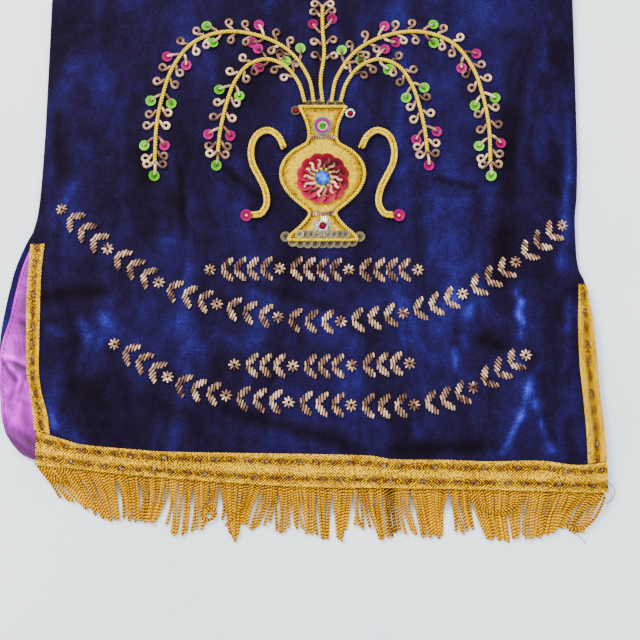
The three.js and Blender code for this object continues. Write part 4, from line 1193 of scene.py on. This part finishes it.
def garland_strokes(corners):
    """Middles, directions and lengths of a garland's strokes. The leaves stand in pairs, turned off the
    line. In a leaf, the strokes stand evenly along it, slanted to it, and their lengths follow a
    half wave. A rosette's strokes point outwards in a ring."""
    line = through(corners, 0.5)
    run, ahead = distances(line), heading(line)
    bays = max(1, round(run[-1] / REST))
    bay = run[-1] / bays
    pairs = round((bay - 13) / LEAF_PAIR)
    in_bay = 7.5 + np.arange(pairs) * (bay - 15 - 7) / (pairs - 1)
    starts = (np.arange(bays)[:, None] * bay + in_bay).ravel()
    spots = np.repeat(np.searchsorted(run, starts), 2).clip(0, len(line) - 1)
    side = np.tile([-1, 1], len(starts))
    axis = np.arctan2(ahead[spots, 1], ahead[spots, 0]) + side * LEAF_OFF
    step = (np.arange(STROKES) + 0.7) / STROKES * LEAF_LONG
    left = np.stack([-ahead[spots, 1], ahead[spots, 0]], -1)
    middle = (line[spots] + 0.6 * side[:, None] * left)[:, None] + compass(axis)[:, None] * step[:, None]
    slant = np.repeat(axis + side * STROKE_SLANT, STROKES)
    length = 2.4 + 3.6 * np.sin((np.arange(STROKES) + 0.6) / STROKES * math.pi)
    rests = line[np.searchsorted(run, np.arange(bays + 1) * bay).clip(0, len(line) - 1)]
    petals = rests[:, None] + ROSETTE_OUT * compass(spread(ROSETTE))
    return (np.concatenate([middle.reshape(-1, 2), petals.reshape(-1, 2)]),
            np.concatenate([slant, np.tile(spread(ROSETTE), len(rests))]),
            np.concatenate([np.tile(length, len(spots)), np.full(ROSETTE * len(rests), ROSETTE_STROKE)]))


for number, corners in enumerate(GARLANDS):
    middles, angle, length = garland_strokes(corners)
    angle = angle + rng.normal(0, 0.06, len(angle))
    length = length * rng.uniform(0.92, 1.08, len(length))
    add_purl("leaf_garland_%d" % number, strokes(middles, angle, length, 1.05, 0.5), 0.74)


# Stitches and loose threads
# Slip stitches in purple silk hold the lining just inside its edge, overcast stitches in navy silk
# close the top seam beside the stave openings, and a few thread ends have come loose.

STITCH_PITCH, SEAM_PITCH = 4.0, 5.0
SEAM_RUNS = [(-172, -103), (-46, 47), (104, 168)]       # where the top seam is closed


def sewing_silk(name, dark, light):
    """Spun sewing silk, a little lighter where its fibres stand off."""
    made, tree, place = finish_for(name, Roughness=0.5, Specular_IOR_Level=0.15)
    fluff = node(tree, "TexNoise", {"Vector": place, "Scale": 900.0})
    dress(tree, node(tree, "ValToRGB", {"Fac": fluff}, [(0.3, dark), (0.7, light)]))
    return made


purple_silk = sewing_silk("purple_sewing_silk", "#5a1860", "#8c1e98")
navy_silk = sewing_silk("navy_sewing_silk", "#100a1c", "#3a2f58")

stitch_y = np.arange(-352, 396, STITCH_PITCH)[:, None]
run = np.linspace(-0.5, 0.5, 4)
y = stitch_y + 2.4 * run
x = back_left(stitch_y) + lining_left(stitch_y) + 2.4 + 0 * y
fold = CREASE["height"] * np.exp(-((y - CREASE["y"]) / CREASE["width"]) ** 2)
z = BACK + GAP + 0.80 + over_border(x - back_left(y)) + 0.22 * np.cos(run * math.pi) ** 0.5 + fold
add_tubes("lining_stitches", np.stack([x, y, z], -1), 0.28, 5, purple_silk, "satin")

across = np.linspace(0, 1, 4)
x = np.concatenate([np.arange(*ends, SEAM_PITCH) for ends in SEAM_RUNS])[:, None] + 1.2 * across
y = TOP_Y + 0.25 - 2.4 * across + 0 * x
z = face_height(x, np.minimum(y, TOP_Y - 0.2)) - 0.75 * (1 - across) ** 2 + 0.12
add_tubes("top_seam_stitches", np.stack([x, y, z], -1), 0.28, 5, navy_silk, "velvet")

LOOSE = [               # plan corners and the height of each end
    ([(206, -371.5), (209.5, -374), (212.4, -377), (213.6, -380.5), (211, -386), (206.8, -388.6)], 3.0),
    ([(185.9, -411), (190.1, -415), (191.5, -417)], 0.6),
    ([(-9.5, -90), (-6, -84.5), (-1, -83), (1.5, -88)], None),
    ([(5, -90), (9, -84), (13.5, -83.5), (15.5, -90)], None),
]
loose = []
for corners, height in LOOSE:
    plan = through(corners, 0.4)
    plan = sampled(plan, np.arange(len(plan)), np.linspace(0, len(plan) - 1, 24))
    loose.append(on_velvet(plan, 0.6) if height is None else raised(plan, np.linspace(height, 0.4, 24)))
add_tubes("loose_threads", loose, 0.2, 5, navy_silk, "velvet")
